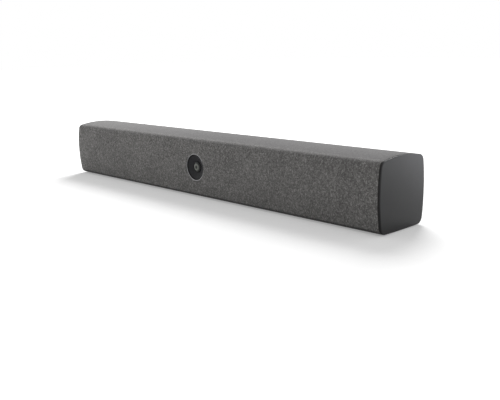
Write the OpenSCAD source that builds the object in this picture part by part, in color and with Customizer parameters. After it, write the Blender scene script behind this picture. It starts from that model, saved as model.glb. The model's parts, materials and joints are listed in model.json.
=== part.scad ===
// Conference camera bar: a fabric-wrapped video bar with one camera and two speakers.
// Millimetres. X runs along the bar, -Y is the front, +Z is up and z = 0 lies under the feet.

/* [Body] */
// Length of the bar over its end caps
bar_w = 556; // [530:1:700]
// Height of the moulded section, without the feet
body_h = 75.4; // [73.6:0.2:86]
// Depth from the front bulge to the back bulge
body_d = 75; // [70:0.5:85]
// Bulge of the front face
front_bulge = 3.8; // [2:0.1:6]
// Bulge of the back face
back_bulge = 3.4; // [2:0.1:5]
// Bulge of the top face
top_bulge = 4.6; // [3:0.1:6]
// Bulge of the underside
bottom_bulge = 0.6; // [0.3:0.1:1.2]
// Radius of the two long top edges
top_corner_r = 9; // [7:0.5:14]
// Radius of the two long bottom edges
bottom_corner_r = 8; // [7:0.5:12]

/* [Shells] */
// Thickness of the fabric
fabric_t = 0.8; // [0.4:0.1:1.2]
// Wall of the moulded shells
shell_t = 2.4; // [1.8:0.1:3]
// How far the fabric shell wraps under the front edge
part_front = 14; // [10:0.5:20]
// Distance from the back to the seam on the top
part_back = 10; // [6:0.5:16]
// Open seam between fabric and rear housing
seam_gap = 0.4; // [0.2:0.1:1]
// How far the alignment lip reaches past the seam
lip_reach = 4; // [2:0.5:6]
// Thickness of the alignment lip
lip_t = 1.4; // [1:0.1:2]

/* [End caps] */
// Rim of each end cap, seen from the front
cap_rim = 1.4; // [1.4:0.1:4]
// Radius of the cap's outer edge
cap_edge_r = 1.1; // [0.5:0.1:1.2]
// Gap that the end gasket fills
gasket_t = 0.5; // [0.3:0.1:1.2]
// How far each cap's spigot reaches into the shells
spigot_len = 8; // [5:0.5:12]
// Wall of the spigot
spigot_t = 1.8; // [1.2:0.1:2.6]

/* [Feet] */
// How far the feet stand below the underside
foot_proud = 0.6; // [0.4:0.1:2]
// Depth of the foot's recess
foot_recess = 1.2; // [0.8:0.1:1.6]
// Length of one foot
foot_len = 46; // [30:1:80]
// Width of one foot
foot_wid = 10; // [8:0.5:14]
// Distance of the feet from each end of the bar
foot_inset = 72; // [40:1:140]

/* [Camera] */
// Outer radius of the camera bezel
bezel_r = 15.9; // [14:0.1:19]
// How far the bezel lies behind the front bulge
bezel_setback = 1.3; // [0.8:0.1:2.4]
// Depth of the bezel's cone
cone_depth = 3.6; // [2.6:0.1:4.6]
// Radius of the opening round the lens
lens_open_r = 6.9; // [6:0.1:8]
// Radius of the front lens
front_lens_r = 6.2; // [5.4:0.1:7.2]
// Outer radius of the lens barrel
barrel_r = 8.6; // [8.1:0.1:9.2]
// Length of the lens barrel
barrel_len = 15.6; // [13:0.1:20]
// Side of the square camera board
camera_board_w = 34; // [30:1:40]

/* [Speakers] */
// Room between each speaker enclosure and the end of the bar
enclosure_end = 36; // [31:1:46]
// Room between the main board and each speaker enclosure
enclosure_gap = 14; // [10:1:20]
// Wall of the speaker enclosure
enclosure_t = 2.2; // [1.6:0.1:3]
// How far the enclosure's face lies behind the front bulge
enclosure_setback = 10.5; // [9.5:0.5:14]
// Outer radius of the speaker frame
frame_r = 27; // [24:0.5:28]
// Travel of the cone each way
cone_travel = 2; // [1:0.1:3]

/* [Rear] */
// Length of the connector bay
bay_w = 150; // [148:2:170]
// Depth of the connector bay
bay_depth = 14; // [11:0.5:17]
// Height of the connector bay
bay_h = 21; // [20.5:0.5:23]
// Spacing of the mounting inserts along the bar
mount_spacing_x = 100; // [75:1:110]
// Spacing of the mounting inserts up the back
mount_spacing_z = 20; // [12:1:20]
// Radius of an insert's thread, M4
mount_hole_r = 2; // [1.5:0.5:2.5]
// Radius of the tripod thread, one quarter inch
tripod_r = 3.175; // [3.175:0.001:4.763]
// Slots in each vent grille
vent_slots = 5; // [3:1:7]

/* [Electronics] */
// Length of the main board
board_w = 168; // [166:1:190]
// How far the main board's front edge lies behind the front bulge
board_setback = 15.5; // [14.5:0.5:20]
// Thickness of the circuit boards
board_t = 1.6; // [1:0.1:2]
// Height of the heat sink
sink_h = 23; // [10:1:34]
// Fins of the heat sink
sink_fins = 9; // [6:1:11]

/* [Hidden] */
$fn = 64;

// Overrun of every cut
cut = 1;
// Gap between pieces of one body that slip together
fit = 0.1;
// Gap between pieces that move apart
free_gap = 0.3;

// Section of the bar
side_steps = 10;
corner_steps = 6;
half_w = bar_w / 2;
mid_z = foot_proud + body_h / 2;
top_z = foot_proud + body_h;
front_apex = -body_d / 2;
back_apex = body_d / 2;
shell_in = fabric_t + shell_t;
body_end = half_w - cap_rim - gasket_t;

function bulge_r(half, bulge) = (half * half + bulge * bulge) / (2 * bulge);
front_r = bulge_r(body_h / 2, front_bulge);
back_r = bulge_r(body_h / 2, back_bulge);
top_r = bulge_r(body_d / 2, top_bulge);
under_r = bulge_r(body_d / 2, bottom_bulge);

// The four sides in turn: underside, back, top, front
side_centres = [
    [0, foot_proud + under_r],
    [back_apex - back_r, mid_z],
    [0, top_z - top_r],
    [front_apex + front_r, mid_z]
];
side_radii = [under_r, back_r, top_r, front_r];
corner_radii = [bottom_corner_r, top_corner_r, top_corner_r, bottom_corner_r];
corner_points = [
    [back_apex, foot_proud], [back_apex, top_z], [front_apex, top_z], [front_apex, foot_proud]
];

// The point where two circles meet, on the side of the point near
function meet(c1, r1, c2, r2, near) =
    let (
        d = c2 - c1,
        l = norm(d),
        a = (r1 * r1 - r2 * r2 + l * l) / (2 * l),
        h = sqrt(r1 * r1 - a * a),
        m = c1 + d * a / l,
        n = [-d[1], d[0]] * h / l
    )
    norm(m + n - near) < norm(m - n - near) ? m + n : m - n;

corner_centres = [
    for (i = [0:3])
        let (j = (i + 1) % 4, r = corner_radii[i])
        meet(side_centres[i], side_radii[i] - r, side_centres[j], side_radii[j] - r, corner_points[i])
];

function bearing(from, to) = atan2(to[1] - from[1], to[0] - from[0]);
function after(a, b) = b < a ? b + 360 : b;
function arc(c, r, a, b, steps) = [
    for (k = [0:steps - 1])
        let (t = a + (after(a, b) - a) * k / steps) c + r * [cos(t), sin(t)]
];

// Outline of the section in Y and Z, drawn in by inset all round
function section_points(inset) = [
    for (i = [0:3])
        let (
            j = (i + 1) % 4,
            before = corner_centres[(i + 3) % 4],
            corner = corner_centres[i],
            a = bearing(side_centres[i], before),
            b = bearing(side_centres[i], corner),
            c = bearing(side_centres[j], corner)
        )
        each concat(
            arc(side_centres[i], side_radii[i] - inset, a, b, side_steps),
            arc(corner, corner_radii[i] - inset, b, c, corner_steps)
        )
];

// Where a side lies, drawn in by inset
function front_y(z, inset) = front_apex + front_r - sqrt(pow(front_r - inset, 2) - pow(z - mid_z, 2));
function back_y(z, inset) = back_apex - back_r + sqrt(pow(back_r - inset, 2) - pow(z - mid_z, 2));
function under_z(y, inset) = foot_proud + under_r - sqrt(pow(under_r - inset, 2) - y * y);
function over_z(y, inset) = top_z - top_r + sqrt(pow(top_r - inset, 2) - y * y);

// Parting line between the fabric shell and the rear housing
part_low = [front_apex + part_front, foot_proud];
part_high = [back_apex - part_back, top_z];
part_dir = (part_high - part_low) / norm(part_high - part_low);
part_normal = [part_dir[1], -part_dir[0]];
part_span = body_h + body_d;

// Seats inside the shells
seat_rib_t = 8;
seat_rise = 2.4;
damper_t = 2;
enclosure_z0 = under_z(0, shell_in) + seat_rise + damper_t;
enclosure_top_gap = 10.6;
enclosure_z1 = top_z - enclosure_top_gap;
enclosure_y0 = front_apex + enclosure_setback;
enclosure_y1 = back_apex - enclosure_setback;
enclosure_r = 4;
enclosure_x0 = board_w / 2 + enclosure_gap;
enclosure_x1 = half_w - enclosure_end;
enclosure_w = enclosure_x1 - enclosure_x0;
speaker_x = (enclosure_x0 + enclosure_x1) / 2;
speaker_z = (enclosure_z0 + enclosure_z1) / 2;
damper_edge = 13;
damper_y = (enclosure_y1 - enclosure_y0) / 2 - damper_edge;
damper_inset = 9.6;
damper_len = enclosure_w - 2 * damper_inset;

// Main board
board_rise = 11.4;
board_z = foot_proud + board_rise;
board_corner_r = 1;
board_back_gap = 0.5;
standoff_r = 3;
small_screw_r = 1.1;
small_head_r = 2.2;
small_head_t = 1.3;
board_inset = 4;

// Connector bay, its wall and its plate
bay_wall = 2;
bay_rise = 6.4;
bay_z0 = foot_proud + bay_rise;
bay_z1 = bay_z0 + bay_h;
bay_y = back_apex - bay_depth;
io_plate_t = 0.8;
port_face_y = bay_y + io_plate_t;
board_y1 = bay_y - bay_wall - board_back_gap;
board_y0 = front_apex + board_setback;
board_d = board_y1 - board_y0;
board_mid_y = (board_y0 + board_y1) / 2;

// Connectors: place along the bar, width, height and length
bay_end_gap = 15;
power_x = bay_end_gap - bay_w / 2;
power_size = [9, 14, 11];
hdmi_pitch = 20;
hdmi_count = 3;
hdmi_first_x = power_x + hdmi_pitch;
hdmi_size = [15, 12, 5.6];
hdmi_wall = 0.5;
tongue_t = 1.4;
usb_pitch = 15;
usb_x = hdmi_first_x + (hdmi_count - 1) * hdmi_pitch + usb_pitch;
usb_size = [9, 8, 3.3];
usb_corner_r = 1.5;
lan_x = usb_x + usb_pitch;
lan_size = [16, 21, 13.4];
lan_hole = [11.8, 13, 7.2];
lan_latch = [6, 2.4];
reset_pitch = 16;
reset_x = lan_x + reset_pitch;
reset_body = [6, 4, 3.6];
reset_r = 1;
reset_grip = 1.2;
reset_travel = 0.35;
reset_recess = 0.6;
lock_slot = [7, 3];
lock_pitch = 14;
lock_x = reset_x + lock_pitch;

// Screws that join the shells
screw_r = 1.5;
screw_head_r = 2.8;
screw_head_t = 2;
screw_head_sink = 0.4;
drive_r = 1.05;
screw_len = 16;
screw_boss_r = 3.6;
screw_drop = 10.4;
screw_z = top_z - screw_drop;
screw_end_gap = 24;
screw_side_gap = 9;
screw_inner_x = enclosure_x0 - screw_side_gap;
screw_outer_x = body_end - screw_end_gap;
screw_seat = 11.5;
screw_joint_y = back_apex - screw_seat;
screw_post_len = 14;
screw_post_y = screw_joint_y - screw_post_len;
housing_screw_x = [-screw_outer_x, -screw_inner_x, 0, screw_inner_x, screw_outer_x];

// Mounting land on the back and what it holds
land_margin = 12;
land_w = mount_spacing_x + 2 * land_margin;
land_z0 = bay_z1 + bay_wall;
land_z1 = screw_z - screw_boss_r;
land_h = land_z1 - land_z0;
land_z = (land_z0 + land_z1) / 2;
land_t = 3.2;
land_cut = 1.6;
land_y = back_apex - land_cut;
land_r = 4;
frame_t = 1.5;
insert_wall = 1.2;
insert_r = mount_hole_r + insert_wall;
insert_head_r = insert_r + insert_wall;
insert_sink = 0.4;

// Vents beside the land
vent_w = 28;
vent_drop = 4;
vent_h = land_h - 2 * vent_drop;
vent_gap = 5;
vent_x = land_w / 2 + vent_gap + vent_w / 2;
vent_z = land_z;
vent_t = 2;
vent_slot_w = 2.4;
vent_margin = 3;
vent_pitch = (vent_w - 2 * vent_margin - vent_slot_w) / (vent_slots - 1);

// Tripod insert
tripod_wall = 1.825;
tripod_outer_r = tripod_r + tripod_wall;
tripod_len = 8.4;
tripod_floor = 1;
tripod_boss_wall = 2.5;
tripod_boss_r = tripod_outer_r + tripod_boss_wall;
tripod_y = 2;

// Screws that hold the caps, from below
cap_screw_y = 12;
cap_screw_r = 1.2;
cap_tab_h = 6;
cap_tab_w = 9;

// Feet
foot_r = 3;
foot_seam_gap = 6.5;
foot_edge_gap = 0.5;
foot_x = half_w - foot_inset;
foot_ys = [
    part_low[0] + foot_seam_gap + foot_wid / 2,
    back_apex - bottom_corner_r - foot_edge_gap - foot_wid / 2
];

// Camera stack, measured back from the bezel's face
camera_z = mid_z;
bezel_y = front_apex + bezel_setback;
bezel_lip = 0.8;
ring_w = 0.8;
ring_t = 1.6;
ring_proud = 0.6;
bezel_seat = 3.9;
bezel_flange_w = 5.1;
bezel_flange_r = bezel_r + bezel_flange_w;
bezel_flange_t = 1.5;
bezel_web_t = 1;
seal_t = 0.8;
retainer_t = 0.6;
retainer_w = 0.7;
lens_dome = 2.2;
lens_edge_t = 3;
element_step = 1;
element_r = front_lens_r - element_step;
element_t = 3;
element_bulge = 0.8;
barrel_front = cone_depth + bezel_web_t + seal_t;
barrel_back = barrel_front + barrel_len;
holder_wall = 1.9;
holder_w = 2 * (barrel_r + holder_wall);
holder_overlap = 7;
sensor_gap = 2.4;
sensor_size = [11, 9, 1.2];
holder_back = barrel_back + sensor_gap + sensor_size[2];
holder_front = barrel_back - holder_overlap;
board_back = holder_back + board_t;
bracket_t = 1.5;
bracket_side = 12;
bracket_rim = 1;
bracket_frame_w = 6;
bracket_w = camera_board_w + 2 * bracket_side;
bracket_h = camera_board_w + 2 * bracket_rim;
bracket_window = camera_board_w - 2 * bracket_frame_w;
bracket_foot_w = 10;
bracket_front = 8.5;
bracket_post_r = 3.2;
flex_w = 12;
flex_t = 0.3;
flex_slot_h = 8;
flex_plug = [14, 3.5, 2];
flex_y = bezel_y + board_back;
camera_screw_inset = 3.5;
bezel_screws = 3;
bezel_screw_len = 3.4;
bezel_screw_r = (bezel_r + bezel_flange_r) / 2;
bezel_head_z = -bezel_seat - bezel_flange_t;
bezel_screw_tip = bezel_head_z + bezel_screw_len;

// Speaker driver, measured forward from the enclosure's face, as radii
driver_seat_w = 2.6;
cone_edge_w = 5.6;
basket_taper = 8;
driver_hole_r = frame_r - driver_seat_w;
driver_gasket_t = 0.8;
driver_flange_t = 1.5;
driver_flange_w = 4.4;
driver_front = driver_gasket_t + driver_flange_t;
basket_neck_r = frame_r - basket_taper;
basket_wall = 1.2;
basket_slope_z = -8;
basket_back_z = -13;
basket_ledge_w = 2.2;
basket_ledge_t = 1.1;
pole_r = 7.7;
former_in_r = 8;
former_t = 0.35;
coil_t = 0.15;
coil_h = 3;
top_plate_r = 15;
top_plate_t = 3;
magnet_r = 16;
magnet_t = 3 * cone_travel;
magnet_bore_r = 9.8;
yoke_t = 3;
former_depth = 2 * cone_travel;
cone_rim_r = frame_r - cone_edge_w;
cone_rim_w = 1.6;
cone_rim_z = 1.2;
cone_t = 0.6;
cone_neck_z = -7.2;
dome_h = 2.4;
spider_t = 0.6;
roll_t = 0.5;
surround_w = 2;
speaker_head_r = 0.9;
speaker_shaft_r = 0.5;
speaker_screw_len = 4;
basket_windows = 6;
basket_window_w = 9;
basket_rib_h = 1;
basket_window_r = basket_neck_r - basket_wall - basket_ledge_w / 2;
port_r = 7;
port_t = 1.6;
port_len = 26;
port_x = (frame_r + enclosure_w / 2 - enclosure_t) / 2;

// Microphones behind the front
mic_board = [44, 8, 1];
mic_inset = 18;
mic_x = board_w / 2 - mic_inset;
mic_drop = 15;
mic_z = top_z - mic_drop;
mic_setback = 6.6;
mic_y = front_apex + mic_setback;
mic_pitch = 13;
mic_count = 3;
mic_hole_r = 1;
mic_boot_r = 2.6;

// Slots in the front shell before the speakers
grille_slots = 9;
grille_slot_w = 3;
grille_pitch = 5.6;

// Radio antennas above the board
antenna = [22, 8, 0.8];
antenna_pitch = 26;
antenna_y = 4;
antenna_pad_h = 3.6;
lead_r = 0.6;
radio = [30, 16, 2.4];
radio_inset = 35;
radio_x = radio_inset - board_w / 2;
antenna_xs = [radio_x - antenna_pitch / 2, radio_x + antenna_pitch / 2];

// Processor, heat sink, radio and headers on the board
header = [7, 10, 4];
sink_gap = 2;
sink_end_gap = 1;
sink_x0 = lan_x + lan_size[0] / 2 + sink_gap;
sink_x1 = board_w / 2 - header[0] - sink_end_gap;
sink_x = (sink_x0 + sink_x1) / 2;
sink_edge = 5.5;
sink_y0 = board_y0 + sink_edge;
sink_y1 = board_y1 - sink_edge;
sink_base_t = 3;
fin_t = 1.2;
soc = [20, 20, 2.5];
thermal_t = 0.5;
chip_z = board_z + board_t;
header_inset = 14;
header_y = board_y0 + header_inset;
wire_r = 0.9;
wire_pitch = 3;
// Chips: place as shares of the board, sides as shares of its depth, height as a share of the header's
chip_shares = [
    [-0.155, 0, 0.28, 0.21, 0.3],
    [-0.07, 0, 0.28, 0.21, 0.3],
    [0.09, -0.09, 0.33, 0.33, 0.4],
    [-0.14, -0.3, 0.14, 0.14, 0.75],
    [0.18, -0.36, 0.16, 0.16, 0.75]
];
mic_ribbon_w = 6;

// Basic forms
module along_x(x0, x1) {
    translate([x0, 0, 0]) rotate([90, 0, 90]) linear_extrude(height = x1 - x0) children();
}
module along_y(y0, y1) {
    translate([0, y1, 0]) rotate([90, 0, 0]) linear_extrude(height = y1 - y0) children();
}
module along_z(z0, z1) {
    translate([0, 0, z0]) linear_extrude(height = z1 - z0) children();
}
module rect(w, h, r) {
    polygon([
        for (q = [0:3])
            let (c = [(q == 0 || q == 3 ? 1 : -1) * (w / 2 - r), (q < 2 ? 1 : -1) * (h / 2 - r)])
            for (k = [0:corner_steps])
                let (t = 90 * (q + k / corner_steps)) c + r * [cos(t), sin(t)]
    ]);
}
module rod_y(x, z, r, y0, y1) {
    translate([x, y1, z]) rotate([90, 0, 0]) cylinder(r = r, h = y1 - y0);
}
module rod_z(x, y, r, z0, z1) {
    translate([x, y, z0]) cylinder(r = r, h = z1 - z0);
}
module block(x0, x1, y0, y1, z0, z1) {
    translate([x0, y0, z0]) cube([x1 - x0, y1 - y0, z1 - z0]);
}
module both_ends() {
    children();
    mirror([1, 0, 0]) children();
}

// The section of the bar and its parts
module section(inset) {
    polygon(section_points(inset));
}
module shell(outer, inner) {
    difference() {
        section(outer);
        section(inner);
    }
}
module front_region(shift) {
    low = part_low - part_dir * part_span + part_normal * shift;
    high = part_high + part_dir * part_span + part_normal * shift;
    polygon([low, high, high - part_normal * part_span, low - part_normal * part_span]);
}
module inside_shell(inset, x) {
    along_x(-x, x) section(inset);
}

// A solid through rings of the section, each given by its place along the bar and its inset
module loft(rings) {
    outline = [for (ring = rings) section_points(ring[1])];
    n = len(outline[0]);
    polyhedron(
        points = [for (k = [0:len(rings) - 1], p = outline[k]) [rings[k][0], p[0], p[1]]],
        faces = concat(
            [[for (i = [0:n - 1]) i]],
            [[for (i = [n - 1:-1:0]) (len(rings) - 1) * n + i]],
            [
                for (k = [0:len(rings) - 2], i = [0:n - 1])
                    let (j = (i + 1) % n) [k * n + i, (k + 1) * n + i, (k + 1) * n + j, k * n + j]
            ]
        )
    );
}

module bay_box(grow) {
    translate([0, 0, bay_z0 + bay_h / 2])
        along_y(bay_y - grow, back_apex + cut) rect(bay_w + 2 * grow, bay_h + 2 * grow, land_r);
}
module port_cuts(gap) {
    block(power_x - power_size[0] / 2 - gap, power_x + power_size[0] / 2 + gap,
        board_y1, bay_y + cut, chip_z - gap, chip_z + power_size[2] + gap);
    for (i = [0:hdmi_count - 1])
        let (x = hdmi_first_x + i * hdmi_pitch)
        block(x - hdmi_size[0] / 2 - gap, x + hdmi_size[0] / 2 + gap,
            board_y1, bay_y + cut, chip_z - gap, chip_z + hdmi_size[2] + gap);
    block(usb_x - usb_size[0] / 2 - gap, usb_x + usb_size[0] / 2 + gap,
        board_y1, bay_y + cut, chip_z - gap, chip_z + usb_size[2] + gap);
    block(lan_x - lan_size[0] / 2 - gap, lan_x + lan_size[0] / 2 + gap,
        board_y1, bay_y + cut, chip_z - gap, chip_z + lan_size[2] + gap);
    rod_y(reset_x, chip_z + reset_body[2] / 2, reset_r + gap, board_y1, bay_y + cut);
    block(lock_x - lock_slot[0] / 2, lock_x + lock_slot[0] / 2,
        board_y1, bay_y + cut, mid_bay_z - lock_slot[1] / 2, mid_bay_z + lock_slot[1] / 2);
}
mid_bay_z = bay_z0 + bay_h / 2;

// Two bars along each speaker enclosure, at y in front of and behind the middle
module seat_pair(y, z0, z1) {
    both_ends() for (s = [-1, 1])
        block(speaker_x - damper_len / 2, speaker_x + damper_len / 2,
            s * y - seat_rib_t / 2, s * y + seat_rib_t / 2, z0, z1);
}

// Places of the mounting inserts, as pairs along the bar and up the back
insert_places = [
    for (sx = [-1, 1], sz = [-1, 1]) [sx * mount_spacing_x / 2, land_z + sz * mount_spacing_z / 2]
];
board_places = [
    for (sx = [-1, 1], y = [board_y0 + board_inset, board_y1 - board_inset])
        [sx * (board_w / 2 - board_inset), y]
];
foot_places = [for (sx = [-1, 1], y = foot_ys) [sx * foot_x, y]];

// The rear and lower shell: lip, connector bay, mounting land, bosses and ribs
module rear_housing() color("#2b2c2e") {
    difference() {
        union() {
            along_x(-body_end, body_end) difference() {
                shell(0, shell_in);
                front_region(0);
            }
            housing_lip();
            intersection() {
                inside_shell(shell_t / 2, body_end);
                union() {
                    bay_box(bay_wall);
                    translate([0, 0, land_z])
                        along_y(land_y - land_t, back_apex) rect(land_w, land_h, land_r);
                    for (p = foot_places)
                        translate([p[0], p[1], 0])
                            along_z(0, foot_proud + foot_recess + shell_t)
                            rect(foot_len + shell_t, foot_wid + shell_t, foot_r + shell_t / 2);
                    rod_z(0, tripod_y, tripod_boss_r, 0, foot_proud + tripod_len + shell_t / 2);
                    for (p = board_places) rod_z(p[0], p[1], standoff_r, 0, board_z);
                    seat_pair(damper_y, 0, enclosure_z0 - damper_t);
                    for (x = housing_screw_x) rod_y(x, screw_z, screw_boss_r, screw_joint_y, back_apex);
                }
            }
        }
        bay_box(0);
        port_cuts(fit);
        translate([0, 0, land_z])
            along_y(land_y, back_apex + cut) rect(land_w - shell_t, land_h - shell_t, land_r);
        for (p = insert_places) rod_y(p[0], p[1], insert_r, land_y - land_t - cut, back_apex + cut);
        both_ends() translate([vent_x, 0, vent_z])
            along_y(vent_y - vent_t - shell_t, back_apex + cut) rect(vent_w, vent_h, vent_margin);
        for (p = foot_places)
            translate([p[0], p[1], 0])
                along_z(-cut, foot_proud + foot_recess) rect(foot_len, foot_wid, foot_r);
        rod_z(0, tripod_y, tripod_outer_r, -cut, foot_proud + tripod_len);
        for (p = board_places) rod_z(p[0], p[1], small_screw_r, board_z - 2 * board_t, board_z + cut);
        for (x = housing_screw_x) {
            rod_y(x, screw_z, screw_r, screw_joint_y - cut, back_apex + cut);
            rod_y(x, screw_z, screw_head_r, back_y(screw_z, 0) - screw_head_t, back_apex + cut);
        }
        both_ends() {
            rod_z(cap_screw_x, cap_screw_y, cap_screw_r, -cut, foot_proud + shell_in + cut);
            rod_z(cap_screw_x, cap_screw_y, small_head_r, -cut, foot_proud + small_head_t);
        }
    }
}
cap_screw_x = body_end - spigot_len / 2;

// Tongue along both seams, interrupted where the front shell's screw posts pass
module housing_lip() {
    lip_end = body_end - spigot_len - cut;
    lip_in = shell_in + fit;
    difference() {
        union() {
            along_x(-lip_end, lip_end) intersection() {
                shell(lip_in, lip_in + lip_t);
                difference() {
                    front_region(lip_reach / 2);
                    front_region(-lip_reach);
                }
            }
            along_x(-lip_end, lip_end) intersection() {
                shell(fabric_t, lip_in + lip_t);
                difference() {
                    front_region(lip_reach);
                    front_region(0);
                }
            }
        }
        for (x = housing_screw_x)
            block(x - screw_boss_r - cut, x + screw_boss_r + cut, 0, back_apex, mid_z, top_z + cut);
    }
}

// The front and top shell under the fabric
module front_carrier() color("#333436") {
    difference() {
        union() {
            along_x(-body_end, body_end) intersection() {
                shell(fabric_t, shell_in);
                front_region(0);
            }
            intersection() {
                inside_shell(fabric_t + shell_t / 2, body_end);
                union() {
                    rod_y(0, camera_z, bezel_flange_r + bezel_flange_t, front_apex, bezel_y + bezel_seat);
                    for (s = [-1, 1])
                        rod_y(s * bracket_post_x, camera_z, bracket_post_r,
                            front_apex, bezel_y + bracket_front - bracket_t);
                    for (x = housing_screw_x) {
                        rod_y(x, screw_z, screw_boss_r, screw_post_y, screw_joint_y);
                        along_x(x - shell_t / 2, x + shell_t / 2) intersection() {
                            front_region(-fit);
                            translate([screw_post_y, screw_z])
                                square([screw_joint_y - screw_post_y, top_z - screw_z]);
                        }
                    }
                    seat_pair(damper_y / 2, enclosure_z1 + damper_t, top_z);
                    both_ends() for (s = [-1, 1])
                        rod_y(mic_x + s * mic_post_x, mic_z, small_head_r, front_apex, mic_y);
                    for (x = antenna_xs)
                        block(x - antenna[0] / 4, x + antenna[0] / 4, antenna_y - antenna[1] / 4,
                            antenna_y + antenna[1] / 4, antenna_z + antenna[2], top_z);
                }
            }
        }
        rod_y(0, camera_z, bezel_r + fit, front_apex - cut, bezel_y + bezel_seat + cut);
        rod_y(0, camera_z, bezel_r + ring_w + fit, front_apex - cut, bezel_y - ring_proud + ring_t);
        camera_axis() bezel_rods(small_screw_r, -bezel_seat - cut, bezel_screw_tip + fit);
        for (x = housing_screw_x) rod_y(x, screw_z, screw_r, screw_post_y + shell_t, screw_joint_y + cut);
        for (s = [-1, 1], i = [0:mic_count - 1])
            rod_y(s * mic_x + mic_shift(i), mic_z, mic_hole_r, front_apex - cut, mic_y);
        both_ends() for (i = [0:grille_slots - 1])
            let (
                dx = (i - (grille_slots - 1) / 2) * grille_pitch,
                h = 2 * sqrt(pow(driver_hole_r + grille_slot_w, 2) - dx * dx)
            )
            translate([speaker_x + dx, 0, speaker_z])
                along_y(front_apex - cut, front_apex + shell_in + front_bulge)
                rect(grille_slot_w, h, grille_slot_w / 2);
    }
}
bracket_post_x = bracket_w / 2 + bracket_foot_w / 2;
function mic_shift(i) = (i - (mic_count - 1) / 2) * mic_pitch;
mic_post_x = (mic_board[0] - mic_board[1]) / 2;
antenna_z = over_z(antenna_y, shell_in) - antenna_pad_h;

// Stretched cloth over the front and top, with a round hole for the camera
module fabric_cover() color("#62615f") {
    difference() {
        along_x(-body_end, body_end) intersection() {
            shell(0, fabric_t);
            front_region(-seam_gap);
        }
        rod_y(0, camera_z, bezel_r + ring_w + fit, front_apex - cut, bezel_y + bezel_seat);
    }
}

// A cap: a lofted plate with a rounded edge, a spigot and a screw tab
cap_rings = concat(
    [[half_w - cap_rim, 0]],
    [
        for (k = [0:4])
            let (t = 90 * k / 4) [half_w - cap_edge_r + cap_edge_r * sin(t), cap_edge_r * (1 - cos(t))]
    ]
);
module end_cap() {
    loft(cap_rings);
    difference() {
        union() {
            along_x(body_end - spigot_len, half_w - cap_rim) shell(shell_in + fit, shell_in + fit + spigot_t);
            along_x(body_end - spigot_len, half_w - cap_rim) intersection() {
                section(shell_in + fit);
                translate([cap_screw_y, foot_proud + shell_in + cap_tab_h / 2])
                    square([cap_tab_w, cap_tab_h + shell_in], center = true);
            }
        }
        rod_z(cap_screw_x, cap_screw_y, cap_screw_r, 0, foot_proud + shell_in + cap_tab_h);
    }
}
module end_cap_right() color("#48494b") end_cap();
module end_cap_left() color("#48494b") mirror([1, 0, 0]) end_cap();

// Dark foam rings between the shells and the caps
module end_gaskets() color("#1c1c1d") {
    both_ends() along_x(body_end, half_w - cap_rim) shell(fabric_t, shell_in);
}

module foot_pads() color("#1a1a1a") {
    for (p = foot_places)
        translate([p[0], p[1], 0])
            along_z(0, foot_proud + foot_recess) rect(foot_len - fit, foot_wid - fit, foot_r);
}

module vent_grilles() color("#232425") {
    both_ends() difference() {
        translate([vent_x, 0, vent_z])
            along_y(vent_y - vent_t, vent_y) rect(vent_w - fit, vent_h - fit, vent_margin);
        for (i = [0:vent_slots - 1])
            let (dx = (i - (vent_slots - 1) / 2) * vent_pitch)
            translate([vent_x + dx, 0, vent_z])
                along_y(vent_y - vent_t - cut, vent_y + cut)
                rect(vent_slot_w, vent_h - 2 * vent_margin, vent_slot_w / 2);
    }
}
vent_y = back_y(vent_z + vent_h / 2, 0) - insert_sink;

// Steel frame that carries the load of the mount to the inserts
module mount_frame() color("#8f9296") {
    y = land_y - land_t;
    difference() {
        translate([0, 0, land_z]) along_y(y - frame_t, y) rect(land_w - land_r, land_h - shell_t, land_r);
        for (p = insert_places) rod_y(p[0], p[1], insert_r, y - frame_t - cut, y + cut);
        translate([0, 0, land_z])
            along_y(y - frame_t - cut, y + cut)
            rect(mount_spacing_x - land_h, mount_spacing_z / 2, land_r / 2);
    }
}
module mount_inserts() color("#c2a25a") {
    y = land_y - land_t - frame_t;
    for (p = insert_places) difference() {
        union() {
            rod_y(p[0], p[1], insert_r, y - frame_t, land_y - insert_sink);
            rod_y(p[0], p[1], insert_head_r, y - frame_t, y);
        }
        rod_y(p[0], p[1], mount_hole_r, y - frame_t - cut, land_y);
    }
}
module tripod_insert() color("#c2a25a") {
    difference() {
        rod_z(0, tripod_y, tripod_outer_r, foot_proud + insert_sink, foot_proud + tripod_len);
        rod_z(0, tripod_y, tripod_r, 0, foot_proud + tripod_len - tripod_floor);
    }
}

// Screws of the shells at the back and of the caps underneath
module housing_screws() color("#3c3d40") {
    head_y = back_y(screw_z, 0) - screw_head_t;
    for (x = housing_screw_x) difference() {
        union() {
            rod_y(x, screw_z, screw_head_r - fit, head_y, head_y + screw_head_t - screw_head_sink);
            rod_y(x, screw_z, screw_r - fit / 2, head_y - screw_len, head_y);
        }
        rod_y(x, screw_z, drive_r, head_y + screw_head_t / 4, back_apex);
    }
    both_ends() {
        rod_z(cap_screw_x, cap_screw_y, small_head_r - fit, foot_proud + fit, foot_proud + small_head_t);
        rod_z(cap_screw_x, cap_screw_y, cap_screw_r - fit / 2,
            foot_proud + fit, foot_proud + shell_in + cap_tab_h / 2);
    }
}

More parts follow.
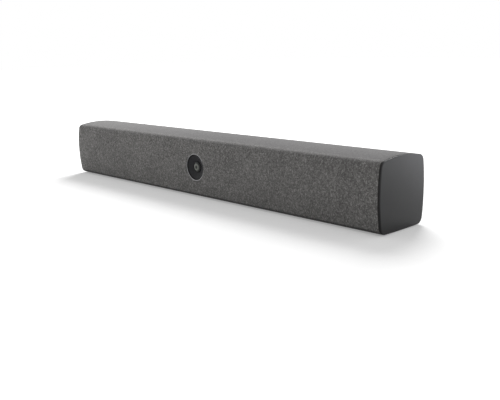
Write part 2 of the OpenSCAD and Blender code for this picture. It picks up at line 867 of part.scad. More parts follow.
// Camera: everything turns about one line from the bezel's face back into the bar
module camera_axis() {
    translate([0, bezel_y, camera_z]) rotate([90, 0, 0]) children();
}
module turned(points) {
    rotate_extrude($fn = 96) polygon(points);
}
module ring(inner, outer, z0, z1) {
    turned([[inner, z0], [outer, z0], [outer, z1], [inner, z1]]);
}
module bezel_rods(r, z0, z1) {
    for (k = [0:bezel_screws - 1])
        rotate(360 * k / bezel_screws)
            translate([bezel_screw_r, 0, z0])
            cylinder(r = r, h = z1 - z0);
}
module camera_bezel() color("#2f3033") camera_axis() difference() {
    turned([
        [bezel_r - bezel_lip, 0], [bezel_r, 0], [bezel_r, -bezel_seat],
        [bezel_flange_r, -bezel_seat], [bezel_flange_r, -bezel_seat - bezel_flange_t],
        [barrel_r + seal_t, -bezel_seat - bezel_flange_t], [barrel_r + seal_t, -cone_depth - bezel_web_t],
        [lens_open_r, -cone_depth - bezel_web_t], [lens_open_r, -cone_depth]
    ]);
    bezel_rods(small_screw_r, -bezel_seat - bezel_flange_t - cut, -bezel_seat + cut);
}
module camera_trim_ring() color("#7b7b7d") camera_axis()
    ring(bezel_r + fit / 2, bezel_r + ring_w, ring_proud - ring_t, ring_proud);
module camera_seal() color("#151515") camera_axis()
    ring(front_lens_r + retainer_w + fit, barrel_r, -barrel_front, -barrel_front + seal_t);

// A lens seen from the side: flat rim of radius r, domes front and back
function dome_points(r, h, z, steps) =
    let (big = bulge_r(r, h), a = asin(r / big))
    [for (k = [0:steps]) let (t = a * (1 - k / steps)) [big * sin(t), z + big * cos(t) - big + h]];
module front_lens() color("#9aa39c") camera_axis() turned(concat(
    [[0, -barrel_front - lens_edge_t]],
    [[front_lens_r, -barrel_front - lens_edge_t], [front_lens_r, -barrel_front]],
    dome_points(front_lens_r - retainer_w, lens_dome, -barrel_front, 10)
));
module lens_retainer() color("#1b1b1c") camera_axis()
    ring(front_lens_r - retainer_w + fit / 2, front_lens_r + retainer_w,
        -barrel_front, -barrel_front + retainer_t);
module lens_barrel() color("#202123") camera_axis() turned([
    [front_lens_r + fit / 2, -barrel_front], [barrel_r, -barrel_front], [barrel_r, -barrel_back],
    [element_r, -barrel_back], [element_r, -barrel_front - lens_edge_t],
    [front_lens_r + fit / 2, -barrel_front - lens_edge_t]
]);
module rear_lenses() color("#aab4b6") camera_axis() for (k = [1, 2])
    translate([0, 0, -barrel_front - lens_edge_t - k * (element_t + 2 * element_bulge)]) turned(concat(
        [[0, 0], [element_r - fit / 4, 0], [element_r - fit / 4, element_t]],
        dome_points(element_r - fit / 4, element_bulge, element_t, 8)
    ));
module lens_holder() color("#26272a") camera_axis() difference() {
    translate([0, 0, -holder_back])
        linear_extrude(height = holder_back - holder_front) rect(holder_w, holder_w, board_corner_r);
    translate([0, 0, -holder_back - cut])
        cylinder(r = barrel_r + fit / 2, h = holder_back - holder_front + 2 * cut);
}
module image_sensor() color("#3d5068") camera_axis()
    translate([-sensor_size[0] / 2, -sensor_size[1] / 2, -holder_back]) cube(sensor_size);
module camera_board() color("#1f5a3a") camera_axis() difference() {
    translate([0, 0, -board_back])
        linear_extrude(height = board_t) rect(camera_board_w, camera_board_w, board_corner_r);
    for (p = camera_places)
        translate([p[0], p[1], -board_back - cut]) cylinder(r = small_screw_r, h = board_t + 2 * cut);
}
camera_places = [
    for (sx = [-1, 1], sz = [-1, 1])
        [sx, sz] * (camera_board_w / 2 - camera_screw_inset)
];
module camera_bracket() color("#9a9da1") camera_axis() difference() {
    union() {
        translate([0, 0, -board_back - bracket_t])
            linear_extrude(height = bracket_t) rect(bracket_w, bracket_h, board_corner_r);
        for (s = [0, 1]) mirror([s, 0, 0]) {
            block(bracket_w / 2 - bracket_t, bracket_w / 2, -bracket_h / 2, bracket_h / 2,
                -board_back, -bracket_front);
            block(bracket_w / 2 - bracket_t, bracket_w / 2 + bracket_foot_w, -bracket_h / 4, bracket_h / 4,
                -bracket_front - bracket_t + fit, -bracket_front + bracket_t);
        }
    }
    translate([0, 0, -board_back - bracket_t - cut])
        linear_extrude(height = bracket_t + 2 * cut) rect(bracket_window, bracket_window, board_corner_r);
    translate([-flex_w / 2 - cut, -bracket_h / 2 - cut, -board_back - bracket_t - cut])
        cube([flex_w + 2 * cut, bracket_h / 2, bracket_t + 2 * cut]);
    for (p = camera_places)
        translate([p[0], p[1], -board_back - bracket_t - cut])
            cylinder(r = small_screw_r, h = bracket_t + 2 * cut);
    for (s = [-1, 1])
        translate([s * bracket_post_x, 0, -bracket_front - 2 * bracket_t])
            cylinder(r = small_screw_r, h = 4 * bracket_t);
}
module camera_flex_cable() color("#b8813a") {
    block(-flex_w / 2, flex_w / 2, flex_y, flex_y + flex_t,
        chip_z + flex_plug[2], camera_z - camera_board_w / 2 + flex_slot_h);
}

// Speakers: everything turns about one line square to the enclosure's face
module speaker_axis(side) {
    translate([side * speaker_x, enclosure_y0, speaker_z]) rotate([90, 0, 0]) children();
}
module enclosure(side) {
    w = enclosure_w / 2;
    mid_y = (enclosure_y0 + enclosure_y1) / 2;
    translate([side * speaker_x, 0, 0]) difference() {
        union() {
            difference() {
                translate([0, mid_y, speaker_z]) along_x(-w, w)
                    rect(enclosure_y1 - enclosure_y0, enclosure_z1 - enclosure_z0, enclosure_r);
                translate([0, mid_y, speaker_z]) along_x(enclosure_t - w, w - enclosure_t)
                    rect(enclosure_y1 - enclosure_y0 - 2 * enclosure_t,
                        enclosure_z1 - enclosure_z0 - 2 * enclosure_t, enclosure_r - enclosure_t);
            }
            rod_y(side * port_x, speaker_z, port_r + port_t, enclosure_y0, enclosure_y0 + port_len);
        }
        rod_y(side * port_x, speaker_z, port_r, enclosure_y0 - cut, enclosure_y0 + port_len + cut);
        rod_y(0, speaker_z, driver_hole_r, enclosure_y0 - cut, enclosure_y0 + enclosure_t + cut);
        translate([0, enclosure_y0, speaker_z]) rotate([90, 0, 0]) speaker_screw_holes();
    }
}
module speaker_enclosure_left() color("#3b3c3e") enclosure(-1);
module speaker_enclosure_right() color("#3b3c3e") enclosure(1);

module speaker_frame(side) speaker_axis(side) difference() {
    turned([
        [frame_r - driver_flange_w, driver_front], [frame_r, driver_front], [frame_r, driver_gasket_t],
        [driver_hole_r - fit, driver_gasket_t], [basket_neck_r, basket_slope_z],
        [basket_neck_r, basket_back_z],
        [magnet_bore_r, basket_back_z], [magnet_bore_r, basket_back_z + basket_wall],
        [basket_neck_r - basket_wall, basket_back_z + basket_wall],
        [basket_neck_r - basket_wall, basket_slope_z - basket_ledge_t],
        [basket_neck_r - basket_wall - basket_ledge_w, basket_slope_z - basket_ledge_t],
        [basket_neck_r - basket_wall - basket_ledge_w, basket_slope_z],
        [basket_neck_r - basket_wall, basket_slope_z],
        [frame_r - driver_flange_w, driver_gasket_t]
    ]);
    for (k = [0:basket_windows - 1])
        rotate(360 * k / basket_windows)
            translate([basket_window_r, -basket_window_w / 2, basket_slope_z + basket_rib_h])
            cube([driver_hole_r, basket_window_w, -basket_slope_z - 2 * basket_rib_h]);
    speaker_screw_holes();
}
module speaker_frame_left() color("#4a4c50") speaker_frame(-1);
module speaker_frame_right() color("#4a4c50") speaker_frame(1);

module speaker_top_plates() color("#8a8d90") for (s = [-1, 1]) speaker_axis(s)
    ring(former_in_r + former_t + coil_t + free_gap, top_plate_r, basket_back_z - top_plate_t, basket_back_z);
module speaker_magnets() color("#3a3a3c") for (s = [-1, 1]) speaker_axis(s)
    ring(magnet_bore_r, magnet_r, basket_back_z - top_plate_t - magnet_t, basket_back_z - top_plate_t);
module speaker_yokes() color("#8a8d90") for (s = [-1, 1]) speaker_axis(s) {
    z = basket_back_z - top_plate_t - magnet_t;
    turned([
        [0, z - yoke_t], [magnet_r, z - yoke_t], [magnet_r, z],
        [pole_r, z], [pole_r, basket_back_z], [0, basket_back_z]
    ]);
}
module speaker_cone(side) speaker_axis(side) {
    former_r = former_in_r + former_t;
    turned([
        [former_in_r, cone_neck_z], [former_r, cone_neck_z], [cone_rim_r - cone_rim_w, cone_rim_z],
        [cone_rim_r, cone_rim_z], [cone_rim_r, cone_rim_z + cone_t],
        [cone_rim_r - cone_rim_w, cone_rim_z + cone_t], [former_in_r, cone_neck_z + 2 * cone_t]
    ]);
    ring(former_in_r, former_r, basket_back_z - former_depth, cone_neck_z + cone_t);
    ring(former_in_r + former_t / 2, former_r + coil_t,
        basket_back_z - former_depth, basket_back_z - former_depth + coil_h);
    turned(concat(
        [[0, cone_neck_z + dome_h]],
        [[former_in_r + former_t / 2, cone_neck_z]],
        dome_points(former_in_r + former_t / 2, dome_h, cone_neck_z + cone_t, 8)
    ));
}
module speaker_cone_left() color("#5c5e60") speaker_cone(-1);
module speaker_cone_right() color("#5c5e60") speaker_cone(1);

// A half roll between the cone's rim and the frame
module surround(side) speaker_axis(side) {
    roll_in = cone_rim_r;
    roll_out = frame_r - driver_flange_w + surround_w;
    mid = (roll_in + roll_out) / 2;
    r = (roll_out - roll_in) / 2;
    turned(concat(
        [[roll_in - cone_rim_w, driver_front], [roll_in, driver_front]],
        [for (k = [0:8]) let (t = 180 - 180 * k / 8) [mid, driver_front] + (r - roll_t) * [cos(t), sin(t)]],
        [[roll_out, driver_front], [roll_out + surround_w / 4, driver_front]],
        [[roll_out + surround_w / 4, driver_front + roll_t], [roll_out, driver_front + roll_t]],
        [
            for (k = [1:7])
                let (t = 180 * k / 8) [mid, driver_front + roll_t] + (r - roll_t / 4) * [cos(t), sin(t)]
        ],
        [[roll_in, driver_front + roll_t], [roll_in - cone_rim_w, driver_front + roll_t]]
    ));
}
module surround_left() color("#1d1d1e") surround(-1);
module surround_right() color("#1d1d1e") surround(1);

module spider(side) speaker_axis(side) ring(former_in_r + former_t + free_gap,
    basket_neck_r - basket_wall - fit, basket_slope_z, basket_slope_z + spider_t / 2);
module spider_left() color("#b3933f") spider(-1);
module spider_right() color("#b3933f") spider(1);

// Four rods along the screws of one speaker
module speaker_screw_rods(r, z0, z1) {
    for (k = [0:3])
        rotate(45 + 90 * k)
            translate([frame_r - speaker_head_r - fit / 2, 0, z0])
            cylinder(r = r, h = z1 - z0);
}
module speaker_screw_holes() {
    speaker_screw_rods(speaker_shaft_r + fit / 2, driver_front - speaker_screw_len, driver_front + cut);
}
module speaker_gaskets() color("#191919") for (s = [-1, 1]) speaker_axis(s) difference() {
    ring(driver_hole_r, frame_r, 0, driver_gasket_t);
    speaker_screw_holes();
}
module speaker_screws() color("#6b6d70") for (s = [-1, 1]) speaker_axis(s) {
    speaker_screw_rods(speaker_shaft_r, driver_front - speaker_screw_len, driver_front);
    speaker_screw_rods(speaker_head_r, driver_front, driver_front + speaker_head_r);
}
module speaker_dampers() color("#202020") {
    seat_pair(damper_y, enclosure_z0 - damper_t, enclosure_z0);
    seat_pair(damper_y / 2, enclosure_z1, enclosure_z1 + damper_t);
}
module speaker_wires() color("#b02d2d") both_ends() for (s = [-1, 1])
    translate([board_w / 2, header_y + s * wire_pitch / 2, chip_z + header[2] / 2])
        rotate([0, 90, 0]) cylinder(r = wire_r, h = enclosure_gap);

// Electronics
module main_board() color("#1f5a3a") difference() {
    translate([0, board_mid_y, 0]) along_z(board_z, board_z + board_t)
        rect(board_w, board_d, board_corner_r);
    for (p = board_places) rod_z(p[0], p[1], small_screw_r, board_z - cut, board_z + board_t + cut);
}
module board_chips() color("#1b1c1e") {
    for (c = chip_shares)
        translate([c[0] * board_w, board_mid_y + c[1] * board_d, chip_z])
        linear_extrude(height = c[4] * header[2]) square([c[2], c[3]] * board_d, center = true);
    block(-flex_plug[0] / 2, flex_plug[0] / 2, flex_y + (flex_t - flex_plug[1]) / 2,
        flex_y + (flex_t + flex_plug[1]) / 2, chip_z, chip_z + flex_plug[2]);
    block(sink_x - soc[0] / 2, sink_x + soc[0] / 2, board_mid_y - soc[1] / 2, board_mid_y + soc[1] / 2,
        chip_z, chip_z + soc[2]);
    block(radio_x - radio[0] / 2, radio_x + radio[0] / 2,
        board_mid_y - radio[1] / 2, board_mid_y + radio[1] / 2, chip_z, chip_z + radio[2]);
    both_ends()
        block(board_w / 2 - header[0], board_w / 2, header_y - header[1] / 2, header_y + header[1] / 2,
            chip_z, chip_z + header[2]);
}
module thermal_pad() color("#8fa7b8")
    block(sink_x - soc[0] / 2, sink_x + soc[0] / 2, board_mid_y - soc[1] / 2, board_mid_y + soc[1] / 2,
        chip_z + soc[2], chip_z + soc[2] + thermal_t);
module heat_sink() color("#a9abae") {
    z = chip_z + soc[2] + thermal_t;
    block(sink_x0, sink_x1, sink_y0, sink_y1, z, z + sink_base_t);
    for (i = [0:sink_fins - 1])
        let (x = sink_x0 + i * (sink_x1 - sink_x0 - fin_t) / (sink_fins - 1))
        block(x, x + fin_t, sink_y0, sink_y1, z, z + sink_h);
}
module hdmi_ports() color("#b9bbbd") for (i = [0:hdmi_count - 1]) {
    x = hdmi_first_x + i * hdmi_pitch;
    difference() {
        block(x - hdmi_size[0] / 2, x + hdmi_size[0] / 2, port_face_y - hdmi_size[1], port_face_y,
            chip_z, chip_z + hdmi_size[2]);
        difference() {
            block(x - hdmi_size[0] / 2 + hdmi_wall, x + hdmi_size[0] / 2 - hdmi_wall,
                port_face_y - hdmi_size[1] / 2, port_face_y + cut,
                chip_z + hdmi_wall, chip_z + hdmi_size[2] - hdmi_wall);
            block(x - hdmi_size[0] / 3, x + hdmi_size[0] / 3,
                port_face_y - hdmi_size[1], port_face_y - tongue_t,
                chip_z + (hdmi_size[2] - tongue_t) / 2, chip_z + (hdmi_size[2] + tongue_t) / 2);
        }
    }
}
module ethernet_port() color("#a8aaad") difference() {
    block(lan_x - lan_size[0] / 2, lan_x + lan_size[0] / 2, port_face_y - lan_size[1], port_face_y,
        chip_z, chip_z + lan_size[2]);
    block(lan_x - lan_hole[0] / 2, lan_x + lan_hole[0] / 2, port_face_y - lan_hole[1], port_face_y + cut,
        lan_z0, lan_z0 + lan_hole[2]);
    block(lan_x - lan_latch[0] / 2, lan_x + lan_latch[0] / 2, port_face_y - lan_hole[1], port_face_y + cut,
        lan_z0 - lan_latch[1], lan_z0 + cut);
}
lan_z0 = chip_z + (lan_size[2] - lan_hole[2]) / 2;
module usb_c_port() color("#b9bbbd") {
    z = chip_z + usb_size[2] / 2;
    difference() {
        translate([usb_x, 0, z]) along_y(port_face_y - usb_size[1], port_face_y)
            rect(usb_size[0], usb_size[2], usb_corner_r);
        translate([usb_x, 0, z]) along_y(port_face_y - usb_size[1] / 2, port_face_y + cut)
            rect(usb_size[0] - hdmi_wall, usb_size[2] - hdmi_wall, usb_corner_r - hdmi_wall / 2);
    }
    block(usb_x - usb_size[0] / 3, usb_x + usb_size[0] / 3,
        port_face_y - usb_size[1] / 2, port_face_y - tongue_t,
        z - hdmi_wall / 2, z + hdmi_wall / 2);
}
module power_inlet() color("#1d1d1f") {
    z = chip_z + power_size[2] / 2;
    difference() {
        block(power_x - power_size[0] / 2, power_x + power_size[0] / 2,
            port_face_y - power_size[1], port_face_y,
            chip_z, chip_z + power_size[2]);
        rod_y(power_x, z, power_size[0] / 3, port_face_y - power_size[1] + 2 * hdmi_wall, port_face_y + cut);
    }
    rod_y(power_x, z, power_size[0] / 9, port_face_y - power_size[1], port_face_y - tongue_t);
}
module io_plate() color("#6f7276") difference() {
    translate([0, 0, mid_bay_z]) along_y(bay_y, port_face_y) rect(bay_w - 2 * fit, bay_h - 2 * fit, land_r);
    translate([0, io_plate_t, 0]) port_cuts(fit);
}

// Reset switch and the button that travels in it
reset_z = chip_z + reset_body[2] / 2;
button_y0 = board_y1 - reset_grip;
module reset_switch() color("#c9c9c4") difference() {
    block(reset_x - reset_body[0] / 2, reset_x + reset_body[0] / 2, board_y1 - reset_body[1], board_y1,
        chip_z, chip_z + reset_body[2]);
    rod_y(reset_x, reset_z, reset_r + fit / 2, button_y0 - reset_travel - fit, board_y1 + cut);
}
module reset_button() color("#1c1c1c")
    rod_y(reset_x, reset_z, reset_r, button_y0, port_face_y - reset_recess);

module mic_boards() color("#20543a") both_ends() difference() {
    translate([mic_x, 0, mic_z]) along_y(mic_y, mic_y + mic_board[2])
        rect(mic_board[0], mic_board[1], board_corner_r);
    for (s = [-1, 1])
        rod_y(mic_x + s * mic_post_x, mic_z, small_screw_r, mic_y - cut, mic_y + mic_board[2] + cut);
}
module mic_boots() color("#161616") for (s = [-1, 1], i = [0:mic_count - 1]) {
    x = s * mic_x + mic_shift(i);
    difference() {
        rod_y(x, mic_z, mic_boot_r, front_y(mic_z + mic_boot_r, shell_in) + fit, mic_y);
        rod_y(x, mic_z, mic_hole_r, front_apex, mic_y + cut);
    }
}
module wifi_antennas() color("#c7b06a") for (x = antenna_xs)
    block(x - antenna[0] / 2, x + antenna[0] / 2, antenna_y - antenna[1] / 2, antenna_y + antenna[1] / 2,
        antenna_z, antenna_z + antenna[2]);

// Antenna leads down to the radio and ribbons from the microphone boards to the main board
module signal_cables() color("#8d8f92") {
    for (x = antenna_xs) rod_z(x, antenna_y, lead_r, chip_z + radio[2], antenna_z);
    both_ends() {
        y = mic_y + mic_board[2];
        block(mic_x - mic_ribbon_w / 2, mic_x + mic_ribbon_w / 2, y, y + flex_t,
            chip_z, mic_z + mic_board[1] / 3);
        block(mic_x - mic_ribbon_w / 2, mic_x + mic_ribbon_w / 2, y, board_y0 + board_inset,
            chip_z, chip_z + flex_t);
    }
}

// Screws of the main board, the camera board, the bezel and the microphone boards
module small_screw(shaft) {
    translate([0, 0, -shaft]) cylinder(r = small_screw_r - fit / 2, h = shaft);
    cylinder(r = small_head_r - fit, h = small_head_t);
}
module board_screws() color("#77797c") {
    for (p = board_places) translate([p[0], p[1], board_z + board_t]) small_screw(2 * board_t);
    camera_axis() {
        for (p = camera_places)
            translate([p[0], p[1], -board_back - bracket_t])
            mirror([0, 0, 1]) small_screw(bracket_t + board_t);
        bezel_rods(small_screw_r - fit / 2, bezel_head_z, bezel_screw_tip);
        bezel_rods(small_head_r - fit, bezel_head_z - small_head_t, bezel_head_z);
    }
    both_ends() for (s = [-1, 1])
        translate([mic_x + s * mic_post_x, mic_y + mic_board[2], mic_z]) rotate([-90, 0, 0])
        small_screw(mic_board[2]);
}

rear_housing();
front_carrier();
fabric_cover();
end_cap_left();
end_cap_right();
end_gaskets();
foot_pads();
vent_grilles();
mount_frame();
mount_inserts();
tripod_insert();
housing_screws();
camera_bezel();
camera_trim_ring();
camera_seal();
front_lens();
lens_retainer();
lens_barrel();
rear_lenses();
lens_holder();
image_sensor();
camera_board();
camera_bracket();
camera_flex_cable();
speaker_enclosure_left();
speaker_enclosure_right();
speaker_frame_left();
speaker_frame_right();
speaker_top_plates();
speaker_magnets();
speaker_yokes();
speaker_cone_left();
speaker_cone_right();
surround_left();
surround_right();
spider_left();
spider_right();
speaker_gaskets();
speaker_screws();
speaker_dampers();
speaker_wires();
main_board();
board_chips();
heat_sink();
thermal_pad();
hdmi_ports();
ethernet_port();
usb_c_port();
power_inlet();
io_plate();
reset_switch();
reset_button();
mic_boards();
mic_boots();
wifi_antennas();
signal_cables();
board_screws();
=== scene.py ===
# %% [markdown]
# # A conference camera bar
# The object is a long bar for a meeting table or a shelf under a screen. Cloth is stretched over its
# front and top, a smooth moulded cap closes each end, and one camera looks out of the middle.
# The solid model was made first, in OpenSCAD. This lesson dresses it: the cloth and the smooth pieces
# are worked out as surfaces with numpy, and every hard piece of the model gets a finish from nodes.

import json
import math

import bmesh
import bpy
import numpy as np
from mathutils import Matrix


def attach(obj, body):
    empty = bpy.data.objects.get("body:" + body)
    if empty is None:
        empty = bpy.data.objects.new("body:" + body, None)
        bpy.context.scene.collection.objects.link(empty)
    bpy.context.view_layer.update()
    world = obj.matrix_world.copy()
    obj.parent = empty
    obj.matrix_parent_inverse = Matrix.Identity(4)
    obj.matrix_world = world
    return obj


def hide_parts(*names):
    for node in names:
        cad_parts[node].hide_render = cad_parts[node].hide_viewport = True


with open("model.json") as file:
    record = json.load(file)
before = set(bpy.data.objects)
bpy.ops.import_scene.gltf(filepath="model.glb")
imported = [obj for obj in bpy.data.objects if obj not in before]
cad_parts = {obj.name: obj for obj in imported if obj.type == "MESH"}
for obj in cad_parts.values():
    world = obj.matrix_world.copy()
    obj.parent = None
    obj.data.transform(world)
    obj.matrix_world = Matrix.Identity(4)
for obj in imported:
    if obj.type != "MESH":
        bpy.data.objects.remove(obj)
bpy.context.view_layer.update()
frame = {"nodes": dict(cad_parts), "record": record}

# %% [markdown]
# ## Where the camera stands
# The photograph shows the bar from the right, in front and a little above. Its place was found by
# fitting the bar's outline, so the view needs no shift: a 50 mm lens, a turn, a tilt and a slight roll.

# %% The camera
EYE = (0.660838, -0.563457, 0.182241)
TURN, TILT, ROLL = 0.81891, 0.21818, -0.02515


def aim(turn, tilt, roll):
    """Three axes of a camera: right, up and backwards, for a turn about Z, a tilt down and a roll."""
    ahead = np.array([-math.sin(turn) * math.cos(tilt), math.cos(turn) * math.cos(tilt), -math.sin(tilt)])
    level = np.array([math.cos(turn), math.sin(turn), 0.0])
    up = np.cross(level, ahead)
    right = math.cos(roll) * level + math.sin(roll) * up
    over = -math.sin(roll) * level + math.cos(roll) * up
    return right, over, -ahead


def placed(axes, spot):
    """Matrix of a thing that stands at spot, from its axes to the right, up and backwards."""
    return Matrix([[float(a[r]) for a in axes] + [float(spot[r])] for r in range(3)] + [[0, 0, 0, 1]])


view_camera = bpy.data.objects.new("view_camera", bpy.data.cameras.new("view_camera"))
view_camera.data.lens = 50.0
view_camera.data.sensor_width = 36.0
view_camera.data.clip_start = 0.01
axes = aim(TURN, TILT, ROLL)
view_camera.matrix_world = placed(axes, EYE)
bpy.context.scene.collection.objects.link(view_camera)
bpy.context.scene.camera = view_camera
print("camera at", EYE, "looking along", np.round(-axes[2], 3).tolist())

# %% [markdown]
# ## The section of the bar
# Cut across, the bar is a rounded box: four shallow arcs, one for each side, that run into each other
# through four corner arcs. It could be drawn as a curve, but worked out as points it also gives the
# outward direction at each point for free, and the cloth and the caps both need that. The photograph
# shows the upper corners and the lower front one a little tighter than the solid model has them, so
# they are tighter here. Sides come in the order under, back, top and front, and a corner follows each.

# %% The section as whole arrays
MM = 0.001
HALF_LENGTH, HALF_DEPTH = 278.0, 37.5
UNDER_Z, TOP_Z, MID_Z = 0.6, 76.0, 38.3
HALF_HEIGHT = (TOP_Z - UNDER_Z) / 2


def arc_radius(half, rise):
    """Radius of an arc that spans twice half and rises by rise: (half^2 + rise^2) / (2 rise)."""
    return (half**2 + rise**2) / (2 * rise)


HALF_SIDE = (HALF_DEPTH, HALF_HEIGHT, HALF_DEPTH, HALF_HEIGHT)
RISE = (0.6, 3.4, 4.6, 3.8)
side_radius = np.array([arc_radius(half, rise) for half, rise in zip(HALF_SIDE, RISE)])
side_centre = np.array([
    [0.0, UNDER_Z + side_radius[0]], [HALF_DEPTH - side_radius[1], MID_Z],
    [0.0, TOP_Z - side_radius[2]], [side_radius[3] - HALF_DEPTH, MID_Z],
])
corner_radius = np.array([8.0, 7.6, 6.4, 7.4])
corner_hint = np.array([
    [HALF_DEPTH, UNDER_Z], [HALF_DEPTH, TOP_Z], [-HALF_DEPTH, TOP_Z], [-HALF_DEPTH, UNDER_Z],
])


def crossing(c1, r1, c2, r2, near):
    """Where two circles cross, on the side nearer to near."""
    d = c2 - c1
    gap = np.hypot(*d)
    along = (r1**2 - r2**2 + gap**2) / (2 * gap)
    off = math.sqrt(r1**2 - along**2) * np.array([-d[1], d[0]]) / gap
    both = np.array([c1 + d * along / gap + off, c1 + d * along / gap - off])
    return both[np.argmin(np.hypot(*(both - near).T))]


corner_centre = np.array([
    crossing(side_centre[i], side_radius[i] - corner_radius[i],
             side_centre[(i + 1) % 4], side_radius[(i + 1) % 4] - corner_radius[i], corner_hint[i])
    for i in range(4)
])


def section(side_steps=40, corner_steps=16):
    """Points (y, z) round the bar and their outward directions, from the front's lower corner, under
    the bar, up the back, over the top and down the front. Each arc is centre + r (cos a, sin a)."""
    points, outward = [], []
    for i in range(4):
        j = (i + 1) % 4
        rays = (corner_centre[i - 1] - side_centre[i], corner_centre[i] - side_centre[i],
                corner_centre[i] - side_centre[j])
        a, b, c = np.unwrap([math.atan2(v[1], v[0]) for v in rays])
        for centre, radius, first, last, steps in (
            (side_centre[i], side_radius[i], a, b, side_steps),
            (corner_centre[i], corner_radius[i], b, c, corner_steps),
        ):
            t = np.linspace(first, last, steps, endpoint=False)
            ray = np.column_stack([np.cos(t), np.sin(t)])
            points.append(centre + radius * ray)
            outward.append(ray)
    return np.vstack(points), np.vstack(outward)


outline, _ = section()
spans = np.round(np.ptp(outline, axis=0), 2).tolist()
print("section:", len(outline), "points,", spans, "mm deep and high")

# %% [markdown]
# ## From grids to meshes
# Every new piece is a grid of points, rows along one parameter and columns along the other. Small
# helpers turn such a grid into faces. A closed direction joins its last line to its first, and a pole
# joins a whole row to one point. The caps and the lens are grids with a pole at both ends.

# %% Helpers for grids and meshes
def grid_faces(rows, cols, close_rows=False, close_cols=False, first=0):
    """Quads of a grid of points: corners (i, j), (i, j+1), (i+1, j+1) and (i+1, j)."""
    i = np.arange(rows if close_rows else rows - 1)[:, None] + np.zeros(1, dtype=int)
    j = np.arange(cols if close_cols else cols - 1)[None, :]
    i0, i1, j0, j1 = i * cols, (i + 1) % rows * cols, j, (j + 1) % cols
    return first + np.stack([i0 + j0, i0 + j1, i1 + j1, i1 + j0], axis=-1).reshape(-1, 4)


def fan_faces(line, pole):
    """Triangles that join each two neighbours of a closed line of points to one pole."""
    line = np.asarray(line)
    return np.column_stack([line, np.roll(line, -1), np.full(len(line), pole)])


def closed_at_poles(points, first_pole, last_pole):
    """Points and faces of a grid whose columns close and whose first and last rows run to a pole."""
    rows, cols = points.shape[:2]
    count, line = rows * cols, np.arange(cols)
    faces = [grid_faces(rows, cols, close_cols=True), fan_faces(line, count),
             fan_faces(count - cols + line, count + 1)]
    return np.vstack([points.reshape(-1, 3), first_pole, last_pole]), faces


def build(name, points, faces, slot, body="bar", uv=None):
    """Makes a smooth-shaded object from points in millimetres, merges doubled points, drops unused
    ones, points all faces outwards, and lets it ride on a body. uv holds one (u, v) per point."""
    mesh = bpy.data.meshes.new(name)
    corners = [face.tolist() for group in faces for face in group]
    mesh.from_pydata((np.asarray(points) * MM).tolist(), [], corners)
    if uv is not None:
        layer = mesh.uv_layers.new(name="weave")
        corner = np.empty(len(mesh.loops), dtype=np.int32)
        mesh.loops.foreach_get("vertex_index", corner)
        layer.data.foreach_set("uv", (np.asarray(uv)[corner] * MM).astype(np.float32).ravel())
    work = bmesh.new()
    work.from_mesh(mesh)
    bmesh.ops.remove_doubles(work, verts=work.verts, dist=1e-7)
    bmesh.ops.delete(work, geom=[v for v in work.verts if not v.link_faces], context="VERTS")
    bmesh.ops.recalc_face_normals(work, faces=work.faces)
    work.to_mesh(mesh)
    work.free()
    mesh.polygons.foreach_set("use_smooth", np.ones(len(mesh.polygons), dtype=bool))
    piece = bpy.data.objects.new(name, mesh)
    bpy.context.scene.collection.objects.link(piece)
    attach(piece, body)
    print(name, "has", len(mesh.vertices), "points and", len(mesh.polygons), "faces")
    return piece


print("a grid of 3 by 4 points has", len(grid_faces(3, 4)), "faces, and closed both ways",
      len(grid_faces(3, 4, close_rows=True, close_cols=True)))

# %% [markdown]
# ## The cloth
# On the real bar one piece of knitted cloth is stretched over the front shell. It starts at the seam
# on the top, goes over the front edge and down the front, and ends under the lower edge. It could be
# simulated, but cloth under tension simply takes the shell's form, so the section itself is followed.
# The grid has the length of the bar in one direction and the way over the section in the other. Round
# the camera a square of it is swapped for a fan of rows that turn slowly from a circle to the square.

# %% The way of the cloth over the section
SEAM_LOW, SEAM_HIGH, SEAM_GAP = np.array([-23.5, UNDER_Z]), np.array([27.5, TOP_Z]), 0.4
CLOTH_END, CLOTH_T, HOLE_R, EDGE_ROUND = 276.1, 0.8, 16.8, 0.28
FRONT_REACH = 25.0

seam = (SEAM_HIGH - SEAM_LOW) / np.hypot(*(SEAM_HIGH - SEAM_LOW))
fine, _ = section(side_steps=600, corner_steps=200)
covered = (fine - SEAM_LOW) @ np.array([seam[1], -seam[0]]) < -SEAM_GAP
start = np.flatnonzero(covered & ~np.roll(covered, 1))[0]
fine = np.roll(fine, -start, axis=0)[np.roll(covered, -start)]
way = np.concatenate([[0], np.cumsum(np.hypot(*np.diff(fine, axis=0).T))])
front_part = np.abs(fine[:, 1] - MID_Z) < FRONT_REACH


def way_at(height):
    """How far along its way over the section the cloth's front reaches a height."""
    return np.interp(-height, -fine[front_part, 1], way[front_part])


def on_cloth(x, s):
    """Points of the cloth's face for places x along the bar and s along its way over the section."""
    return np.stack([x, np.interp(s, way, fine[:, 0]), np.interp(s, way, fine[:, 1])], axis=-1)


hole_way = float(way_at(MID_Z))
print(f"the cloth runs {way[-1]:.1f} mm over the section, the camera's middle lies at {hole_way:.1f} mm")

# %% The cloth as one grid with a round hole
SQUARE, ROUND_ROWS = 30.0, 9
mid_x = np.linspace(-SQUARE, SQUARE, 25)


def lines_round_hole(low, middle, high, steps_low, steps_high):
    """Places of grid lines from low to high: the square's own round middle, and even ones beside it."""
    return np.concatenate([
        np.linspace(low, middle - SQUARE, steps_low)[:-1], middle + mid_x,
        np.linspace(middle + SQUARE, high, steps_high)[1:],
    ])


